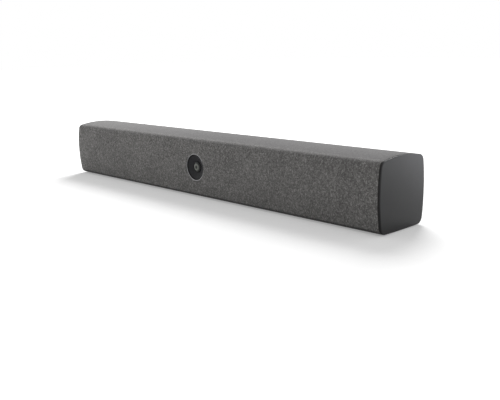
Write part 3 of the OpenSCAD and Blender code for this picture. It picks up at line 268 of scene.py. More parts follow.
cloth_x = lines_round_hole(-CLOTH_END, 0.0, CLOTH_END, 36, 36)
cloth_s = lines_round_hole(0.0, hole_way, way[-1], 70, 22)
flat_s, flat_x = np.meshgrid(cloth_s, cloth_x, indexing="ij")
quads = grid_faces(*flat_x.shape)
centre_x, centre_s = flat_x.ravel()[quads].mean(1), flat_s.ravel()[quads].mean(1)
quads = quads[(np.abs(centre_x) > SQUARE) | (np.abs(centre_s - hole_way) > SQUARE)]

side, border = mid_x[:-1], np.full(len(mid_x) - 1, SQUARE)
rim = np.concatenate([
    np.column_stack([side, -border]), np.column_stack([border, side]),
    np.column_stack([-side, border]), np.column_stack([-border, -side]),
])
angle = np.arctan2(rim[:, 1], rim[:, 0])
hole_s = way_at(MID_Z - HOLE_R * np.sin(angle)) - hole_way
hole = np.column_stack([HOLE_R * np.cos(angle), hole_s])
share = np.linspace(0, 1, ROUND_ROWS)[:, None, None]
patch = (1 - share) * hole + share * rim
flat = np.concatenate([
    np.column_stack([flat_x.ravel(), flat_s.ravel()]), patch.reshape(-1, 2) + [0, hole_way],
])
patch_quads = grid_faces(ROUND_ROWS, len(rim), close_cols=True, first=flat_x.size)
cloth_points = on_cloth(flat[:, 0], flat[:, 1])
cloth = build("stretched_cloth", cloth_points, [quads, patch_quads], "cloth", uv=flat)

# %% [markdown]
# The grid is the cloth's face. Solidify gives it its 0.8 mm inwards, so that it stays in the bar's
# outline, and a fine Bevel rounds the cut edges at the seam, the caps and the camera.

# %% Thickness and rounded edges of the cloth
wall = cloth.modifiers.new("cloth_thickness", "SOLIDIFY")
wall.thickness, wall.offset, wall.use_even_offset = CLOTH_T * MM, -1.0, False
edge = cloth.modifiers.new("soft_edge", "BEVEL")
edge.width, edge.segments = EDGE_ROUND * MM, 2
edge.limit_method, edge.angle_limit = "ANGLE", math.radians(60)
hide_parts("fabric_cover")

# %% [markdown]
# ## The end caps
# Each cap is one moulding: a nearly flat face, a rounded edge, a short rim and a spigot that slips into
# the shells. A loft of the section does it. Near the rim the section is drawn in by a distance, and
# further in it shrinks towards its middle, because drawing it in further would fold its corners.

# %% Caps as a profile carried round the section
CAP_RIM, CAP_EDGE, CAP_CROWN, CAP_INSET = 1.4, 1.1, 0.25, 6.0
SPIGOT_END, SPIGOT_IN, SPIGOT_T, SPIGOT_CUT = 268.1, 3.3, 1.8, 0.4
RIM_ROUND = ((0.2, 0.0), (0.06, 0.04), (0.0, 0.2))
CROWN_SHARES, FACE_INSETS, BACK_SHARES = (0.15, 0.35, 0.55, 0.75, 0.9), (3.0, 1.6), (0.95, 0.5, 0.15)
cap_ring, cap_out = section(64, 24)


def drawn_in(inset):
    """The section drawn in by inset along its outward directions."""
    return cap_ring - inset * cap_out


def cap_surface(side):
    """Rows of the cap's closed profile: (x, inset, share) is the section drawn in by inset and then
    shrunk to share of its size about the middle. side is +1 for the right end and -1 for the left."""
    bend = np.radians(np.linspace(0, 90, 11))
    face_x, inner = HALF_LENGTH - CAP_CROWN, HALF_LENGTH - CAP_RIM
    rows = [(HALF_LENGTH - CAP_CROWN * k**2, CAP_INSET, k) for k in CROWN_SHARES]
    rows += [(face_x, inset, 1.0) for inset in FACE_INSETS]
    rows += [(face_x - CAP_EDGE * (1 - c), CAP_EDGE * (1 - s), 1.0)
             for c, s in zip(np.cos(bend), np.sin(bend))]
    rows += [(inner + out, inset, 1.0) for out, inset in RIM_ROUND]
    rows += [(inner, SPIGOT_IN, 1.0), (SPIGOT_END + SPIGOT_CUT, SPIGOT_IN, 1.0),
             (SPIGOT_END, SPIGOT_IN + SPIGOT_CUT, 1.0)]
    rows += [(x, SPIGOT_IN + SPIGOT_T, 1.0) for x in (SPIGOT_END, inner)]
    rows += [(inner, CAP_INSET, k) for k in BACK_SHARES]
    middle = np.array([0.0, MID_Z])
    yz = np.stack([middle + k * (drawn_in(inset) - middle) for _, inset, k in rows])
    x = np.broadcast_to(side * np.array([r[0] for r in rows])[:, None], yz.shape[:2])
    points = np.concatenate([x[..., None], yz], axis=-1)
    return closed_at_poles(points, [side * HALF_LENGTH, 0.0, MID_Z], [side * inner, 0.0, MID_Z])


for side, name in ((1, "right"), (-1, "left")):
    cap = build(f"cap_{name}", *cap_surface(side), "cap")
    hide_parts(f"end_cap_{name}")

# %% [markdown]
# ## Round pieces of the camera
# The bezel, the thin ring round it and the front lens are turned pieces: a profile carried round one
# axis. A profile in radius and depth is easier to read and to change than an edited cylinder, and the
# small roundings that catch the light are simply more points of it.

# %% Turning a profile round the camera's axis
FACE_Y, AXIS_Z = -36.2, MID_Z
TURN_STEPS, CORNER_STEPS = 144, 5


def turned(profile, poles=False):
    """Points (r cos t, depth, r sin t) for rows (r, depth) of a profile. Without poles the profile is a
    closed loop and makes a ring. With poles its first and last rows shrink to points on the axis."""
    profile = np.asarray(profile, dtype=float)
    t = np.linspace(0, 2 * np.pi, TURN_STEPS, endpoint=False)
    r, depth = profile[:, :1], profile[:, 1:]
    points = np.stack([r * np.cos(t), FACE_Y + depth + 0 * t, AXIS_Z + r * np.sin(t)], axis=-1)
    if not poles:
        faces = grid_faces(len(profile), TURN_STEPS, close_rows=True, close_cols=True)
        return points.reshape(-1, 3), [faces]
    ends = [[0, FACE_Y + profile[row, 1], AXIS_Z] for row in (0, -1)]
    return closed_at_poles(points[1:-1], *ends)


def rounded(corner, start, end, radius):
    """Points of a rounded corner between the directions to start and to end, as a quadratic curve."""
    corner, start, end = (np.asarray(p, dtype=float) for p in (corner, start, end))
    a = corner + radius * (start - corner) / np.hypot(*(start - corner))
    b = corner + radius * (end - corner) / np.hypot(*(end - corner))
    t = np.linspace(0, 1, CORNER_STEPS)[:, None]
    return ((1 - t) ** 2 * a + 2 * t * (1 - t) * corner + t**2 * b).tolist()


print("a turned piece has", TURN_STEPS, "points for each row of its profile")

# %% The cone round the lens
BEZEL_R, LIP_R, OPEN_R, CONE_DEPTH, CONE_BACK = 15.9, 15.1, 6.9, 3.6, 4.6
WEB_R, FLANGE_R, FLANGE_FRONT, FLANGE_BACK, WALL_STEP = 9.4, 21.0, 3.9, 5.4, 1.5
LIP_ROUND, OPEN_ROUND, CUT = 0.25, 0.15, 0.1
cone_t = np.linspace(0, 1, 12)[1:-1]
cone_wall = np.column_stack([LIP_R + (OPEN_R - LIP_R) * cone_t, CONE_DEPTH * cone_t])
bezel = build("bezel_cone", *turned(
    rounded((BEZEL_R, 0), (BEZEL_R, 1), (LIP_R, 0), LIP_ROUND)
    + rounded((LIP_R, 0), (BEZEL_R, 0), (OPEN_R, CONE_DEPTH), LIP_ROUND)
    + cone_wall.tolist()
    + rounded((OPEN_R, CONE_DEPTH), (LIP_R, 0), (OPEN_R, CONE_BACK), OPEN_ROUND)
    + [(OPEN_R, CONE_BACK - CUT), (OPEN_R + CUT, CONE_BACK), (WEB_R, CONE_BACK), (WEB_R, FLANGE_BACK),
       (FLANGE_R - CUT, FLANGE_BACK), (FLANGE_R, FLANGE_BACK - CUT),
       (FLANGE_R, FLANGE_FRONT + CUT), (FLANGE_R - CUT, FLANGE_FRONT),
       (BEZEL_R, FLANGE_FRONT), (BEZEL_R, WALL_STEP)]
), "bezel")
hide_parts("camera_bezel")

# %% The thin ring and the front lens
RING_R, RING_HALF_W, RING_MID, RING_HALF_D = 16.325, 0.375, 0.2, 0.8
ring_t = np.linspace(0, 2 * np.pi, 28, endpoint=False)


def squared(v):
    """Turns the sine or cosine of a circle into that of a square with round corners."""
    return np.sign(v) * np.abs(v) ** 0.5


ring = build("trim_ring", *turned(np.column_stack([
    RING_R + RING_HALF_W * squared(np.cos(ring_t)), RING_MID + RING_HALF_D * squared(np.sin(ring_t)),
])), "trim")
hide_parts("camera_trim_ring")

LENS_R, LENS_STEP_R, LENS_BACK = 6.2, 3.0, 8.4
DOME_R, DOME_H, DOME_RIM, DOME_BACK = 6.7, 1.5, 2.7, 4.75
NECK_R, NECK_BACK, NECK_CUT = 5.45, 5.45, 0.05
dome_r = arc_radius(DOME_R, DOME_H)
dome_t = np.linspace(0, math.asin(DOME_R / dome_r), 20)
dome = np.column_stack([dome_r * np.sin(dome_t), DOME_RIM - DOME_H + dome_r * (1 - np.cos(dome_t))])
lens = build("lens_glass", *turned(
    dome.tolist()
    + [(DOME_R, DOME_BACK - CUT), (DOME_R - CUT, DOME_BACK), (NECK_R + NECK_CUT, DOME_BACK),
       (NECK_R, DOME_BACK + NECK_CUT), (NECK_R, NECK_BACK - NECK_CUT), (NECK_R + NECK_CUT, NECK_BACK),
       (LENS_R - CUT, NECK_BACK), (LENS_R, NECK_BACK + CUT), (LENS_R, LENS_BACK - CUT),
       (LENS_R - CUT, LENS_BACK), (LENS_STEP_R, LENS_BACK), (0.0, LENS_BACK)],
    poles=True), "lens")
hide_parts("front_lens")

# %% [markdown]
# ## How a finish is made
# A finish is a small tree of nodes round one shader. Colour, roughness and relief each vary with
# patterns that have a real size in metres, read from Object coordinates, so a grain of 0.4 mm stays
# 0.4 mm on every piece. The two classes below only shorten the calls that add and join nodes. Most of
# a noise lies between 0.3 and 0.7, so that range is stretched for a soft pattern, or a narrower one
# for a crisp pattern.

# %% Patterns from nodes
SOFT, CRISP = (0.3, 0.7), (0.35, 0.65)


class Patterns:
    """A tree of nodes in the making. place holds its Object coordinates."""

    def __init__(self, tree):
        self.tree = tree
        self.place = self.add("TexCoord").outputs["Object"]

    def feed(self, socket, value):
        """Joins another socket to this one, or gives it a value of its own."""
        if isinstance(value, bpy.types.NodeSocket):
            self.tree.links.new(value, socket)
        else:
            socket.default_value = value

    def add(self, kind, props=None, **inputs):
        """Adds a node. A socket given as an input is joined, anything else becomes its value. Inputs
        without a name of their own are called i0, i1 and so on."""
        node = self.tree.nodes.new("ShaderNode" + kind)
        for key, value in (props or {}).items():
            setattr(node, key, value)
        for key, value in inputs.items():
            numbered = key[0] == "i" and key[1:].isdigit()
            self.feed(node.inputs[int(key[1:]) if numbered else key.replace("_", " ")], value)
        return node

    def xyz(self, where=None):
        """The three coordinates of a place, each by itself."""
        return tuple(self.add("SeparateXYZ", Vector=where or self.place).outputs)

    def stretched(self, scale, where=None):
        """Stretched coordinates, for streaks and for patterns on the cloth's map."""
        return self.add("Mapping", Vector=where or self.place, Scale=scale).outputs[0]

    def off_axis(self):
        """Distance from the camera's axis, which runs along Y."""
        axis, across = (0, 0, AXIS_Z * MM), (1, 0, 1)
        away = self.add("VectorMath", {"operation": "SUBTRACT"}, i0=self.place, i1=axis).outputs[0]
        flat = self.add("VectorMath", {"operation": "MULTIPLY"}, i0=away, i1=across).outputs[0]
        return self.add("VectorMath", {"operation": "LENGTH"}, i0=flat).outputs["Value"]

    def noise(self, size, detail=3.0, where=None):
        """Soft noise with features of about size metres, from 0 to 1."""
        return self.add("TexNoise", Vector=where or self.place, Scale=1 / size, Detail=detail).outputs[0]

    def cells(self, size, where=None, out="Color"):
        """Cells of about size metres: a random colour for each, or the distance to its middle."""
        return self.add("TexVoronoi", Vector=where or self.place, Scale=1 / size).outputs[out]

    def spread(self, value, low, high, to_low=0.0, to_high=1.0):
        """Stretches value from low..high to to_low..to_high."""
        ends = {"From_Min": low, "From_Max": high, "To_Min": to_low, "To_Max": to_high}
        return self.add("MapRange", Value=value, **ends).outputs[0]

    def mixed(self, share, first, second):
        """One colour turned into another by share."""
        node = self.add("Mix", {"data_type": "RGBA"}, i0=share)
        for socket, value in ((node.inputs[6], first), (node.inputs[7], second)):
            self.feed(socket, (*value, 1) if isinstance(value, tuple) else value)
        return node.outputs[2]

    def ramp(self, value, *stops):
        """Colours that follow value. Each stop is a position and the colour there, in rising order."""
        node = self.add("ValToRGB", Fac=value)
        elements = node.color_ramp.elements
        for element, (at, tint) in zip((elements[0], elements[1]), (stops[0], stops[-1])):
            element.position, element.color = at, (*tint, 1)
        for at, tint in stops[1:-1]:
            elements.new(at).color = (*tint, 1)
        return node.outputs[0]

    def math(self, operation, a, b=0.0):
        """One sum of two values or sockets."""
        return self.add("Math", {"operation": operation}, i0=a, i1=b).outputs[0]

    def weighted(self, *pairs):
        """Sum of value times weight over pairs of the two."""
        total = self.math("MULTIPLY", *pairs[0])
        for pair in pairs[1:]:
            total = self.math("ADD", total, self.math("MULTIPLY", *pair))
        return total

    def wave(self, value, pitch):
        """Sine of a length, with one wave every pitch metres."""
        return self.math("SINE", self.math("MULTIPLY", value, 2 * math.pi / pitch))


print("noise is stretched from", SOFT, "for soft patterns and from", CRISP, "for crisp ones")

# %% A finish round one shader
class Finish(Patterns):
    """One material in the making. skin is its shader."""

    def __init__(self, name, rough, metal=0.0, **sockets):
        self.material = bpy.data.materials.new(name)
        self.material.use_nodes = True
        super().__init__(self.material.node_tree)
        self.skin = self.tree.nodes["Principled BSDF"]
        self.skin.inputs["Roughness"].default_value = rough
        self.skin.inputs["Metallic"].default_value = metal
        for key, value in sockets.items():
            self.skin.inputs[key.replace("_", " ")].default_value = value
        self.normal = None

    def colour(self, socket):
        """Joins a colour to the shader."""
        self.tree.links.new(socket, self.skin.inputs["Base Color"])

    def roughness(self, value, low, high):
        """Lets roughness follow a noise from low to high."""
        self.tree.links.new(self.spread(value, *SOFT, low, high), self.skin.inputs["Roughness"])

    def relief(self, height, depth, strength=1.0):
        """Adds relief of depth metres on top of any relief before it."""
        node = self.add("Bump", Height=height, Distance=depth, Strength=strength)
        if self.normal:
            self.tree.links.new(self.normal, node.inputs["Normal"])
        self.normal = node.outputs[0]
        self.tree.links.new(self.normal, self.skin.inputs["Normal"])

    def wear(self, radius):
        """1 along sharp edges and 0 elsewhere: how far a rounded normal leans from the real one."""
        least, most = 0.01, 0.25
        near = self.add("Bevel", {"samples": 4}, Radius=radius).outputs[0]
        real = self.add("NewGeometry").outputs["Normal"]
        lean = self.add("VectorMath", {"operation": "DOT_PRODUCT"}, i0=near, i1=real).outputs["Value"]
        return self.spread(self.math("SUBTRACT", 1.0, lean), least, most)


def shade(colour, factor):
    """A colour made darker or lighter."""
    return tuple(c * factor for c in colour)


print("a mid grey at half its tone:", shade((0.5, 0.5, 0.5), 0.5))

# %% [markdown]
# ## The cloth's finish
# The photograph shows grey cloth with fine, irregular lighter and darker specks: a melange, in which
# each yarn is spun from light and dark fibres. The pattern follows the cloth's own map, so it bends
# with it over the edges. Three things make it: yarns that cross every 0.8 mm, a random tone for each
# short piece of yarn, and soft patches where more light fibres came together. Fuzz looks lighter where
# it is seen at a low angle, as on the top of the bar, and Sheen does that. In the photograph the top
# also looks calmer and smoother than the front, so a plain tone covers most of its specks and its
# relief is lower. Painted shade makes the front and the top slowly darker to the right, and painted
# shade darkens the cloth along its lower edge and at both ends, where it meets the caps.

# %% Grey melange
YARN, FLECK, YARN_BIT, PATCH, BROAD = 0.0008, 0.0010, 0.0016, 0.0026, 0.05
TOP_ENDS, FRONT_STARTS = 0.050, 0.062
# painted shade: the cloth darkens along its lower edge and at both ends, between these distances
LOW_EDGE_PAINTED_SHADE_STARTS, LOW_EDGE_PAINTED_SHADE_FULL = (hole_way + 33.0) * MM, (hole_way + 35.5) * MM
END_PAINTED_SHADE_STARTS, END_PAINTED_SHADE_FULL = (CLOTH_END - 1.2) * MM, (CLOTH_END - 0.7) * MM
# painted shade: over these spans the top and the front get darker to the right
TOP_PAINTED_SHADE_SPAN, FRONT_PAINTED_SHADE_SPAN = (-0.27, 0.05), (-0.08, 0.27, 0.0, 0.22)
PAINTED_EDGE_SHADE_TONE, CALM, WOBBLE = (0.03, 0.029, 0.028), 0.7, 0.0006


def melange_cloth():
    """Cloth of light and dark fibres, with a calm top, painted shade that darkens it to the right and
    painted shade along its lower edge and at both ends.
    """
    f = Finish("melange_cloth", 0.92, Sheen_Weight=0.2, Sheen_Roughness=0.5,
               Sheen_Tint=(0.9, 0.89, 0.9, 1), Specular_IOR_Level=0.25)
    weave = f.add("UVMap", {"uv_map": "weave"}).outputs[0]
    bent = f.add("VectorMath", {"operation": "MULTIPLY_ADD"}, i0=f.noise(0.004, 2.0, weave),
                 i1=(WOBBLE,) * 3, i2=weave).outputs[0]
    along, over, _ = f.xyz(bent)
    flecks = f.cells(FLECK, f.stretched((1.0, 1.2, 1.0), bent))
    yarns = f.cells(YARN_BIT, f.stretched((1.35, 1.0, 1.0), bent))
    tone = f.add("SeparateColor", Color=flecks).outputs[0]
    yarn = f.add("SeparateColor", Color=yarns).outputs[1]
    patch = f.spread(f.noise(PATCH, 2.0, weave), *SOFT)
    broad = f.spread(f.noise(BROAD, 2.0, weave), *CRISP)
    mix = f.weighted((tone, 0.4), (yarn, 0.38), (patch, 0.16), (broad, 0.06))
    fibres = f.ramp(mix, (0.12, (0.075, 0.073, 0.0705)), (0.5, (0.168, 0.164, 0.159)),
                    (0.9, (0.385, 0.377, 0.364)))

    top = f.spread(over, TOP_ENDS, FRONT_STARTS, 1.0, 0.0)
    # painted shade: the top and the front get darker towards the right end
    top_with_painted_shade = f.mixed(f.spread(along, *TOP_PAINTED_SHADE_SPAN), (0.155, 0.151, 0.151), (0.06, 0.058, 0.059))
    front_with_painted_shade = f.mixed(f.spread(along, *FRONT_PAINTED_SHADE_SPAN), fibres, (0.085, 0.082, 0.08))
    # painted shade: the cloth turns nearly black along its lower edge and at both ends
    ends = f.spread(f.math("ABSOLUTE", along), END_PAINTED_SHADE_STARTS, END_PAINTED_SHADE_FULL)
    painted_edge_shade = f.math("MAXIMUM", f.spread(over, LOW_EDGE_PAINTED_SHADE_STARTS, LOW_EDGE_PAINTED_SHADE_FULL), ends)
    f.colour(f.mixed(painted_edge_shade, f.mixed(f.math("MULTIPLY", top, CALM), front_with_painted_shade, top_with_painted_shade), PAINTED_EDGE_SHADE_TONE))

    raised = f.spread(top, 0.0, 1.0, 0.8, 0.12)
    f.relief(f.math("MULTIPLY", f.wave(along, YARN), f.wave(over, YARN)), 0.00010, raised)
    f.relief(tone, 0.00012, raised)
    f.relief(f.noise(0.0005, 2.0), 0.00005, raised)
    f.roughness(patch, 0.86, 0.97)
    return f.material


print(f"cloth finish: yarns {YARN * 1000:.1f} mm apart, flecks of about {FLECK * 1000:.0f} mm")

# %% [markdown]
# ## Moulded plastics
# The housing has the fine spark-eroded grain that moulds of such bars get, and hidden parts are plain
# mouldings. They differ in grain size, depth and gloss, so one function makes them. Edges get a little
# lighter where hands and cloths rub them. The caps are smoother and satin and have a function of their
# own: painted light makes them lighter towards the top and the back, and painted shade makes them
# nearly black at the rim.

# %% Moulded plastic
DARK, LIGHT, SPECK = 0.93, 1.07, 1.5


def moulded(name, colour, rough, grain, depth):
    """Plastic with a grain of the given size and depth, slow changes of tone and rubbed edges."""
    f = Finish(name, rough)
    cloud = f.noise(0.03, 4.0)
    speck = f.noise(grain, 3.0)
    base = f.mixed(f.spread(cloud, *CRISP), shade(colour, DARK), shade(colour, LIGHT))
    base = f.mixed(f.spread(speck, *SOFT, 0.0, 0.16), base, shade(colour, SPECK))
    rubbed = f.math("MULTIPLY", f.wear(0.0006), f.spread(f.noise(0.004), *CRISP, 0.1, 0.35))
    f.colour(f.mixed(rubbed, base, tuple(min(1.0, c * 2.2 + 0.02) for c in colour)))
    f.roughness(f.weighted((cloud, 0.5), (speck, 0.5)), rough - 0.05, rough + 0.06)
    f.relief(speck, depth)
    f.relief(f.cells(grain * 1.7, out="Distance"), depth * 0.5)
    return f.material


print(f"plastic tones run from {DARK} to {LIGHT} of the colour, with specks towards {SPECK}")

# %% The satin caps
# painted shade: the caps' rim next to the cloth is nearly black out to these distances
PAINTED_RIM_SHADE_FULL, PAINTED_RIM_SHADE_ENDS = (HALF_LENGTH - CAP_EDGE + 0.15) * MM, (HALF_LENGTH - CAP_EDGE + 0.35) * MM


def satin_cap():
    """The caps' smooth plastic, with painted light that makes it lighter to the top and back, and painted
    shade that makes its rim at the cloth nearly black.
    """
    f = Finish("satin_cap", 0.36, Specular_IOR_Level=0.24)
    speck = f.noise(0.00022)
    x, y, z = f.xyz()
    # painted light: the caps' colour gets lighter with height and towards the back
    back_share, reach, power = 0.6, 0.095, 2.2
    painted_light_height = f.math("ADD", f.math("MULTIPLY", y, back_share), z)
    tone = f.math("POWER", f.spread(painted_light_height, 0.0, reach), power)
    face = f.mixed(tone, (0.0155, 0.0158, 0.0166), (0.15, 0.151, 0.16))
    face = f.mixed(f.spread(f.noise(0.03, 4.0), *CRISP, 0.0, 0.15), face, (0.026, 0.0265, 0.028))
    # painted shade: the rim next to the cloth turns nearly black
    rim = f.spread(f.math("ABSOLUTE", x), PAINTED_RIM_SHADE_FULL, PAINTED_RIM_SHADE_ENDS, 1.0, 0.0)
    f.colour(f.mixed(rim, face, (0.005, 0.005, 0.0055)))
    f.roughness(f.weighted((speck, 0.8), (rim, 0.5)), 0.33, 0.42)
    f.relief(speck, 0.000006)
    return f.material


print(f"the caps' dark rim fades between {PAINTED_RIM_SHADE_FULL / MM:.2f} and {PAINTED_RIM_SHADE_ENDS / MM:.2f} mm from the middle")

# %% Rubber and pads
DUST = 0.35


def rubbery(name, colour, rough=0.85):
    """Rubber: matt and dark, with fine dimples and dust that clings to it."""
    f = Finish(name, rough, Specular_IOR_Level=0.35)
    dust = f.spread(f.noise(0.008, 6.0), 0.45, 0.7, 0.0, DUST)
    f.colour(f.mixed(dust, colour, tuple(c * 1.6 + 0.02 for c in colour)))
    f.roughness(f.noise(0.002), rough - 0.06, rough + 0.08)
    f.relief(f.noise(0.0004, 2.0), 0.00004)
    return f.material


print(f"dust takes up to {DUST:.0%} of the rubber's tone")

# %% [markdown]
# ## Metals
# Zinc-plated sheet has a soft crystalline bloom and fine scratches, brass inserts and extruded
# aluminium have streaks along the way they run, and the thin ring round the camera shows the rings of
# the tool. Each is the same metal shader with another pattern of roughness, and a colour that shifts a
# little with it.

# %% Steel, brass and aluminium
TOOL_MARK, LINE_DEPTH = 0.00015, 0.00001


def metal(name, colour, rough, streak=(1, 1, 1), size=0.0008, rings=False):
    """Metal with streaks of a size, stretched by streak, or with turned rings round the camera."""
    f = Finish(name, rough, 1.0)
    bloom = f.noise(0.006, 4.0)
    if rings:
        lines = f.add("TexNoise", {"noise_dimensions": "1D"}, W=f.off_axis(), Scale=1 / TOOL_MARK,
                      Detail=2.0).outputs[0]
    else:
        lines = f.noise(size, 4.0, f.stretched(streak))
    f.colour(f.mixed(f.spread(bloom, *SOFT), shade(colour, 0.86), shade(colour, 1.12)))
    f.roughness(f.weighted((bloom, 0.4), (lines, 0.6)), rough - 0.08, rough + 0.12)
    f.relief(lines, LINE_DEPTH)
    return f.material


print(f"tool marks about {TOOL_MARK / MM:.2f} mm wide and {LINE_DEPTH / MM:.2f} mm deep")

# %% [markdown]
# ## Boards, films and speaker parts
# A circuit board is glossy lacquer over copper tracks that stand out a little: straight lines that
# turn square, which a cell pattern with square distances gives. A speaker cone is pressed from paper
# pulp and shows its fibres, and the spider behind it is stiffened cloth.

# %% Boards and film
TRACK_CELL, TRACK_WAVES, FILM_LINE = 0.004, 34.0, 0.001


def board_lacquer():
    """Green lacquer over copper tracks that follow square cells."""
    f = Finish("board_lacquer", 0.28, Coat_Weight=0.5, Coat_Roughness=0.12)
    squares = f.add("TexVoronoi", {"distance": "CHEBYCHEV"}, Vector=f.place, Scale=1 / TRACK_CELL)
    ripple = f.math("SINE", f.math("MULTIPLY", squares.outputs["Distance"], TRACK_WAVES))
    track = f.spread(ripple, 0.2, 0.5)
    f.colour(f.mixed(track, (0.008, 0.075, 0.035), (0.02, 0.15, 0.065)))
    f.roughness(f.noise(0.003), 0.22, 0.36)
    f.relief(track, 0.00003)
    return f.material


def film_strip():
    """Amber film with conductors side by side."""
    f = Finish("polyimide_film", 0.3, Coat_Weight=0.4)
    line = f.spread(f.wave(f.xyz()[0], FILM_LINE), -0.2, 0.2)
    f.colour(f.mixed(line, (0.5, 0.2, 0.03), (0.36, 0.13, 0.02)))
    f.roughness(f.noise(0.002), 0.25, 0.4)
    f.relief(line, 0.00003)
    return f.material


print(f"copper in cells of {TRACK_CELL / MM:.0f} mm, lines of the film {FILM_LINE / MM:.0f} mm apart")

# %% Paper cone and cloth spider
KNIT = 0.0009


def pressed_paper():
    """Dark paper pulp with fibres."""
    f = Finish("pressed_paper", 0.9, Specular_IOR_Level=0.2)
    fibre = f.noise(0.0012, 6.0, f.stretched((1.0, 1.0, 3.5)))
    f.colour(f.mixed(f.spread(fibre, *SOFT), (0.05, 0.05, 0.05), (0.13, 0.128, 0.124)))
    f.roughness(fibre, 0.82, 0.96)
    f.relief(fibre, 0.00008)
    return f.material


def spider_cloth():
    """Stiffened yellow cloth whose threads cross."""
    f = Finish("spider_cloth", 0.75)
    x, _, z = f.xyz()
    knit = f.math("MULTIPLY", f.wave(x, KNIT), f.wave(z, KNIT))
    f.colour(f.mixed(f.spread(knit, -1, 1), (0.3, 0.2, 0.05), (0.58, 0.44, 0.15)))
    f.roughness(f.noise(0.002), 0.68, 0.84)
    f.relief(knit, 0.0001)
    return f.material


print(f"threads of the spider {KNIT / MM:.1f} mm apart")

# %% [markdown]
# ## The lens
# Seen from outside, a small wide lens is a dark pupil in a ring of coated glass that throws back some
# greenish grey light. Real glass over a deep black barrel would do, but such a small lens takes many
# rays. Here that light is a painted reflection: the tone changes with the distance from the lens's
# axis, under a thin clear coat, and that looks the same from every side. The cone round it has fine
# rings, and its lip is blacker.

# %% Coated glass
def coated_glass():
    """A dark pupil in a ring of greenish grey by distance from the axis: a painted reflection of the
    coated glass.
    """
    f = Finish("coated_glass", 0.12, Coat_Weight=0.2, Coat_Roughness=0.02, Specular_IOR_Level=0.15)
    # painted reflection: the greenish grey ring stands in for light thrown back by the coated glass
    rings = f.ramp(
        f.spread(f.off_axis(), 0.0, DOME_R * MM),
        (0.0, (0.003, 0.004, 0.003)), (0.29, (0.001, 0.0015, 0.001)), (0.34, (0.19, 0.2, 0.165)),
        (0.55, (0.2, 0.21, 0.185)), (0.68, (0.07, 0.075, 0.07)), (0.78, (0.006, 0.007, 0.006)),
        (1.0, (0.006, 0.0065, 0.006)))
    f.colour(f.mixed(f.spread(f.noise(0.003), *SOFT, 0.0, 0.2), rings, (0.02, 0.03, 0.028)))
    f.roughness(f.noise(0.004), 0.08, 0.18)
    f.relief(f.noise(0.0008, 2.0), 0.000002)
    return f.material


print(f"the glass changes its tone out to {DOME_R} mm from the axis")

# %% The turned cone
GROOVE, LIP_STARTS, LIP_FULL = 0.0006, 0.0138, 0.0148


def turned_black():
    """Satin black with the fine rings that turning leaves in the mould of the cone, and a blacker lip."""
    f = Finish("turned_black", 0.42, Specular_IOR_Level=0.14)
    radius = f.off_axis()
    cone = f.mixed(f.spread(f.noise(0.004), *CRISP), (0.018, 0.018, 0.0195), (0.025, 0.025, 0.0275))
    f.colour(f.mixed(f.spread(radius, LIP_STARTS, LIP_FULL), cone, (0.001, 0.001, 0.001)))
    f.roughness(f.noise(0.001), 0.36, 0.5)
    f.relief(f.wave(radius, GROOVE), 0.00002)
    return f.material


print(f"grooves {GROOVE / MM:.1f} mm apart, and a blacker lip from {LIP_STARTS / MM:.1f} mm outwards")

# %% [markdown]
# ## Giving every piece its finish
# The record lists which material each node is made of. One table turns those names into finishes,
# and every node of the model and every new piece is given the finish of its own slot. A call of
# moulded gives colour, roughness, and the grain's size and depth. A call of metal gives colour,
# roughness, and the stretch and size of its streaks.

# %% The table of finishes
finishes = {
    "housing": moulded("grained_housing", (0.042, 0.043, 0.046), 0.5, 0.0005, 0.00004),
    "cloth": melange_cloth(),
    "cap": satin_cap(),
    "bezel": turned_black(),
    "trim": metal("satin_trim", (0.42, 0.42, 0.425), 0.36, rings=True),
    "rubber": rubbery("dark_rubber", (0.018, 0.018, 0.018)),
    "lens": coated_glass(),
    "steel": metal("zinc_steel", (0.5, 0.51, 0.52), 0.34, (1, 1, 6)),
    "brass": metal("turned_brass", (0.66, 0.48, 0.2), 0.28, (3, 1, 3), 0.0004),
    "aluminium": metal("extruded_aluminium", (0.6, 0.61, 0.62), 0.36, (8, 0.5, 8)),
    "inner_plastic": moulded("inner_moulding", (0.028, 0.028, 0.03), 0.5, 0.0007, 0.00003),
    "board": board_lacquer(),
    "chip": moulded("chip_resin", (0.014, 0.014, 0.016), 0.44, 0.00025, 0.00002),
    "magnet": moulded("sintered_ferrite", (0.04, 0.04, 0.043), 0.6, 0.0009, 0.00005),
    "cone": pressed_paper(),
    "spider": spider_cloth(),
    "cable": rubbery("cable_insulation", (0.26, 0.03, 0.025), 0.5),
    "film": film_strip(),
    "pad": rubbery("silicone_pad", (0.2, 0.3, 0.4), 0.7),
    "switch": moulded("switch_plastic", (0.5, 0.5, 0.45), 0.42, 0.0006, 0.00002),
}
piece_finish = {
    "stretched_cloth": "cloth", "cap_right": "cap", "cap_left": "cap",
    "bezel_cone": "bezel", "trim_ring": "trim", "lens_glass": "lens",
}
for part in frame["record"]["subparts"]:
    node = frame["nodes"][part["node"]]
    if not node.material_slots:
        node.data.materials.append(finishes[part["material_slot"]])
    for slot in node.material_slots:
        slot.material = finishes[part["material_slot"]]
for name, slot in piece_finish.items():
    bpy.data.objects[name].data.materials.append(finishes[slot])

# %% [markdown]
# ## Floor and light
# The photograph has a white floor that fades into a white background, soft light from above that
# makes the top of the cloth lighter than its front, and a soft shadow under the bar. The floor is
# white paint with a little glow for rays that come from the camera or a mirror. It is faint near the
# bar, where the shadow lies, and rises with the distance until the floor is as white as the
# background. No extra light falls on the bar for it.

# %% The floor
def seen_directly(tree):
    """1 for rays from the camera and for rays through or off polished things, else 0."""
    path = tree.nodes.new("ShaderNodeLightPath")
    total = path.outputs["Is Camera Ray"]
    for name in ("Is Glossy Ray", "Is Transmission Ray"):
        most = tree.nodes.new("ShaderNodeMath")
        most.operation = "MAXIMUM"
        tree.links.new(total, most.inputs[0])
        tree.links.new(path.outputs[name], most.inputs[1])
        total = most.outputs[0]
    return total


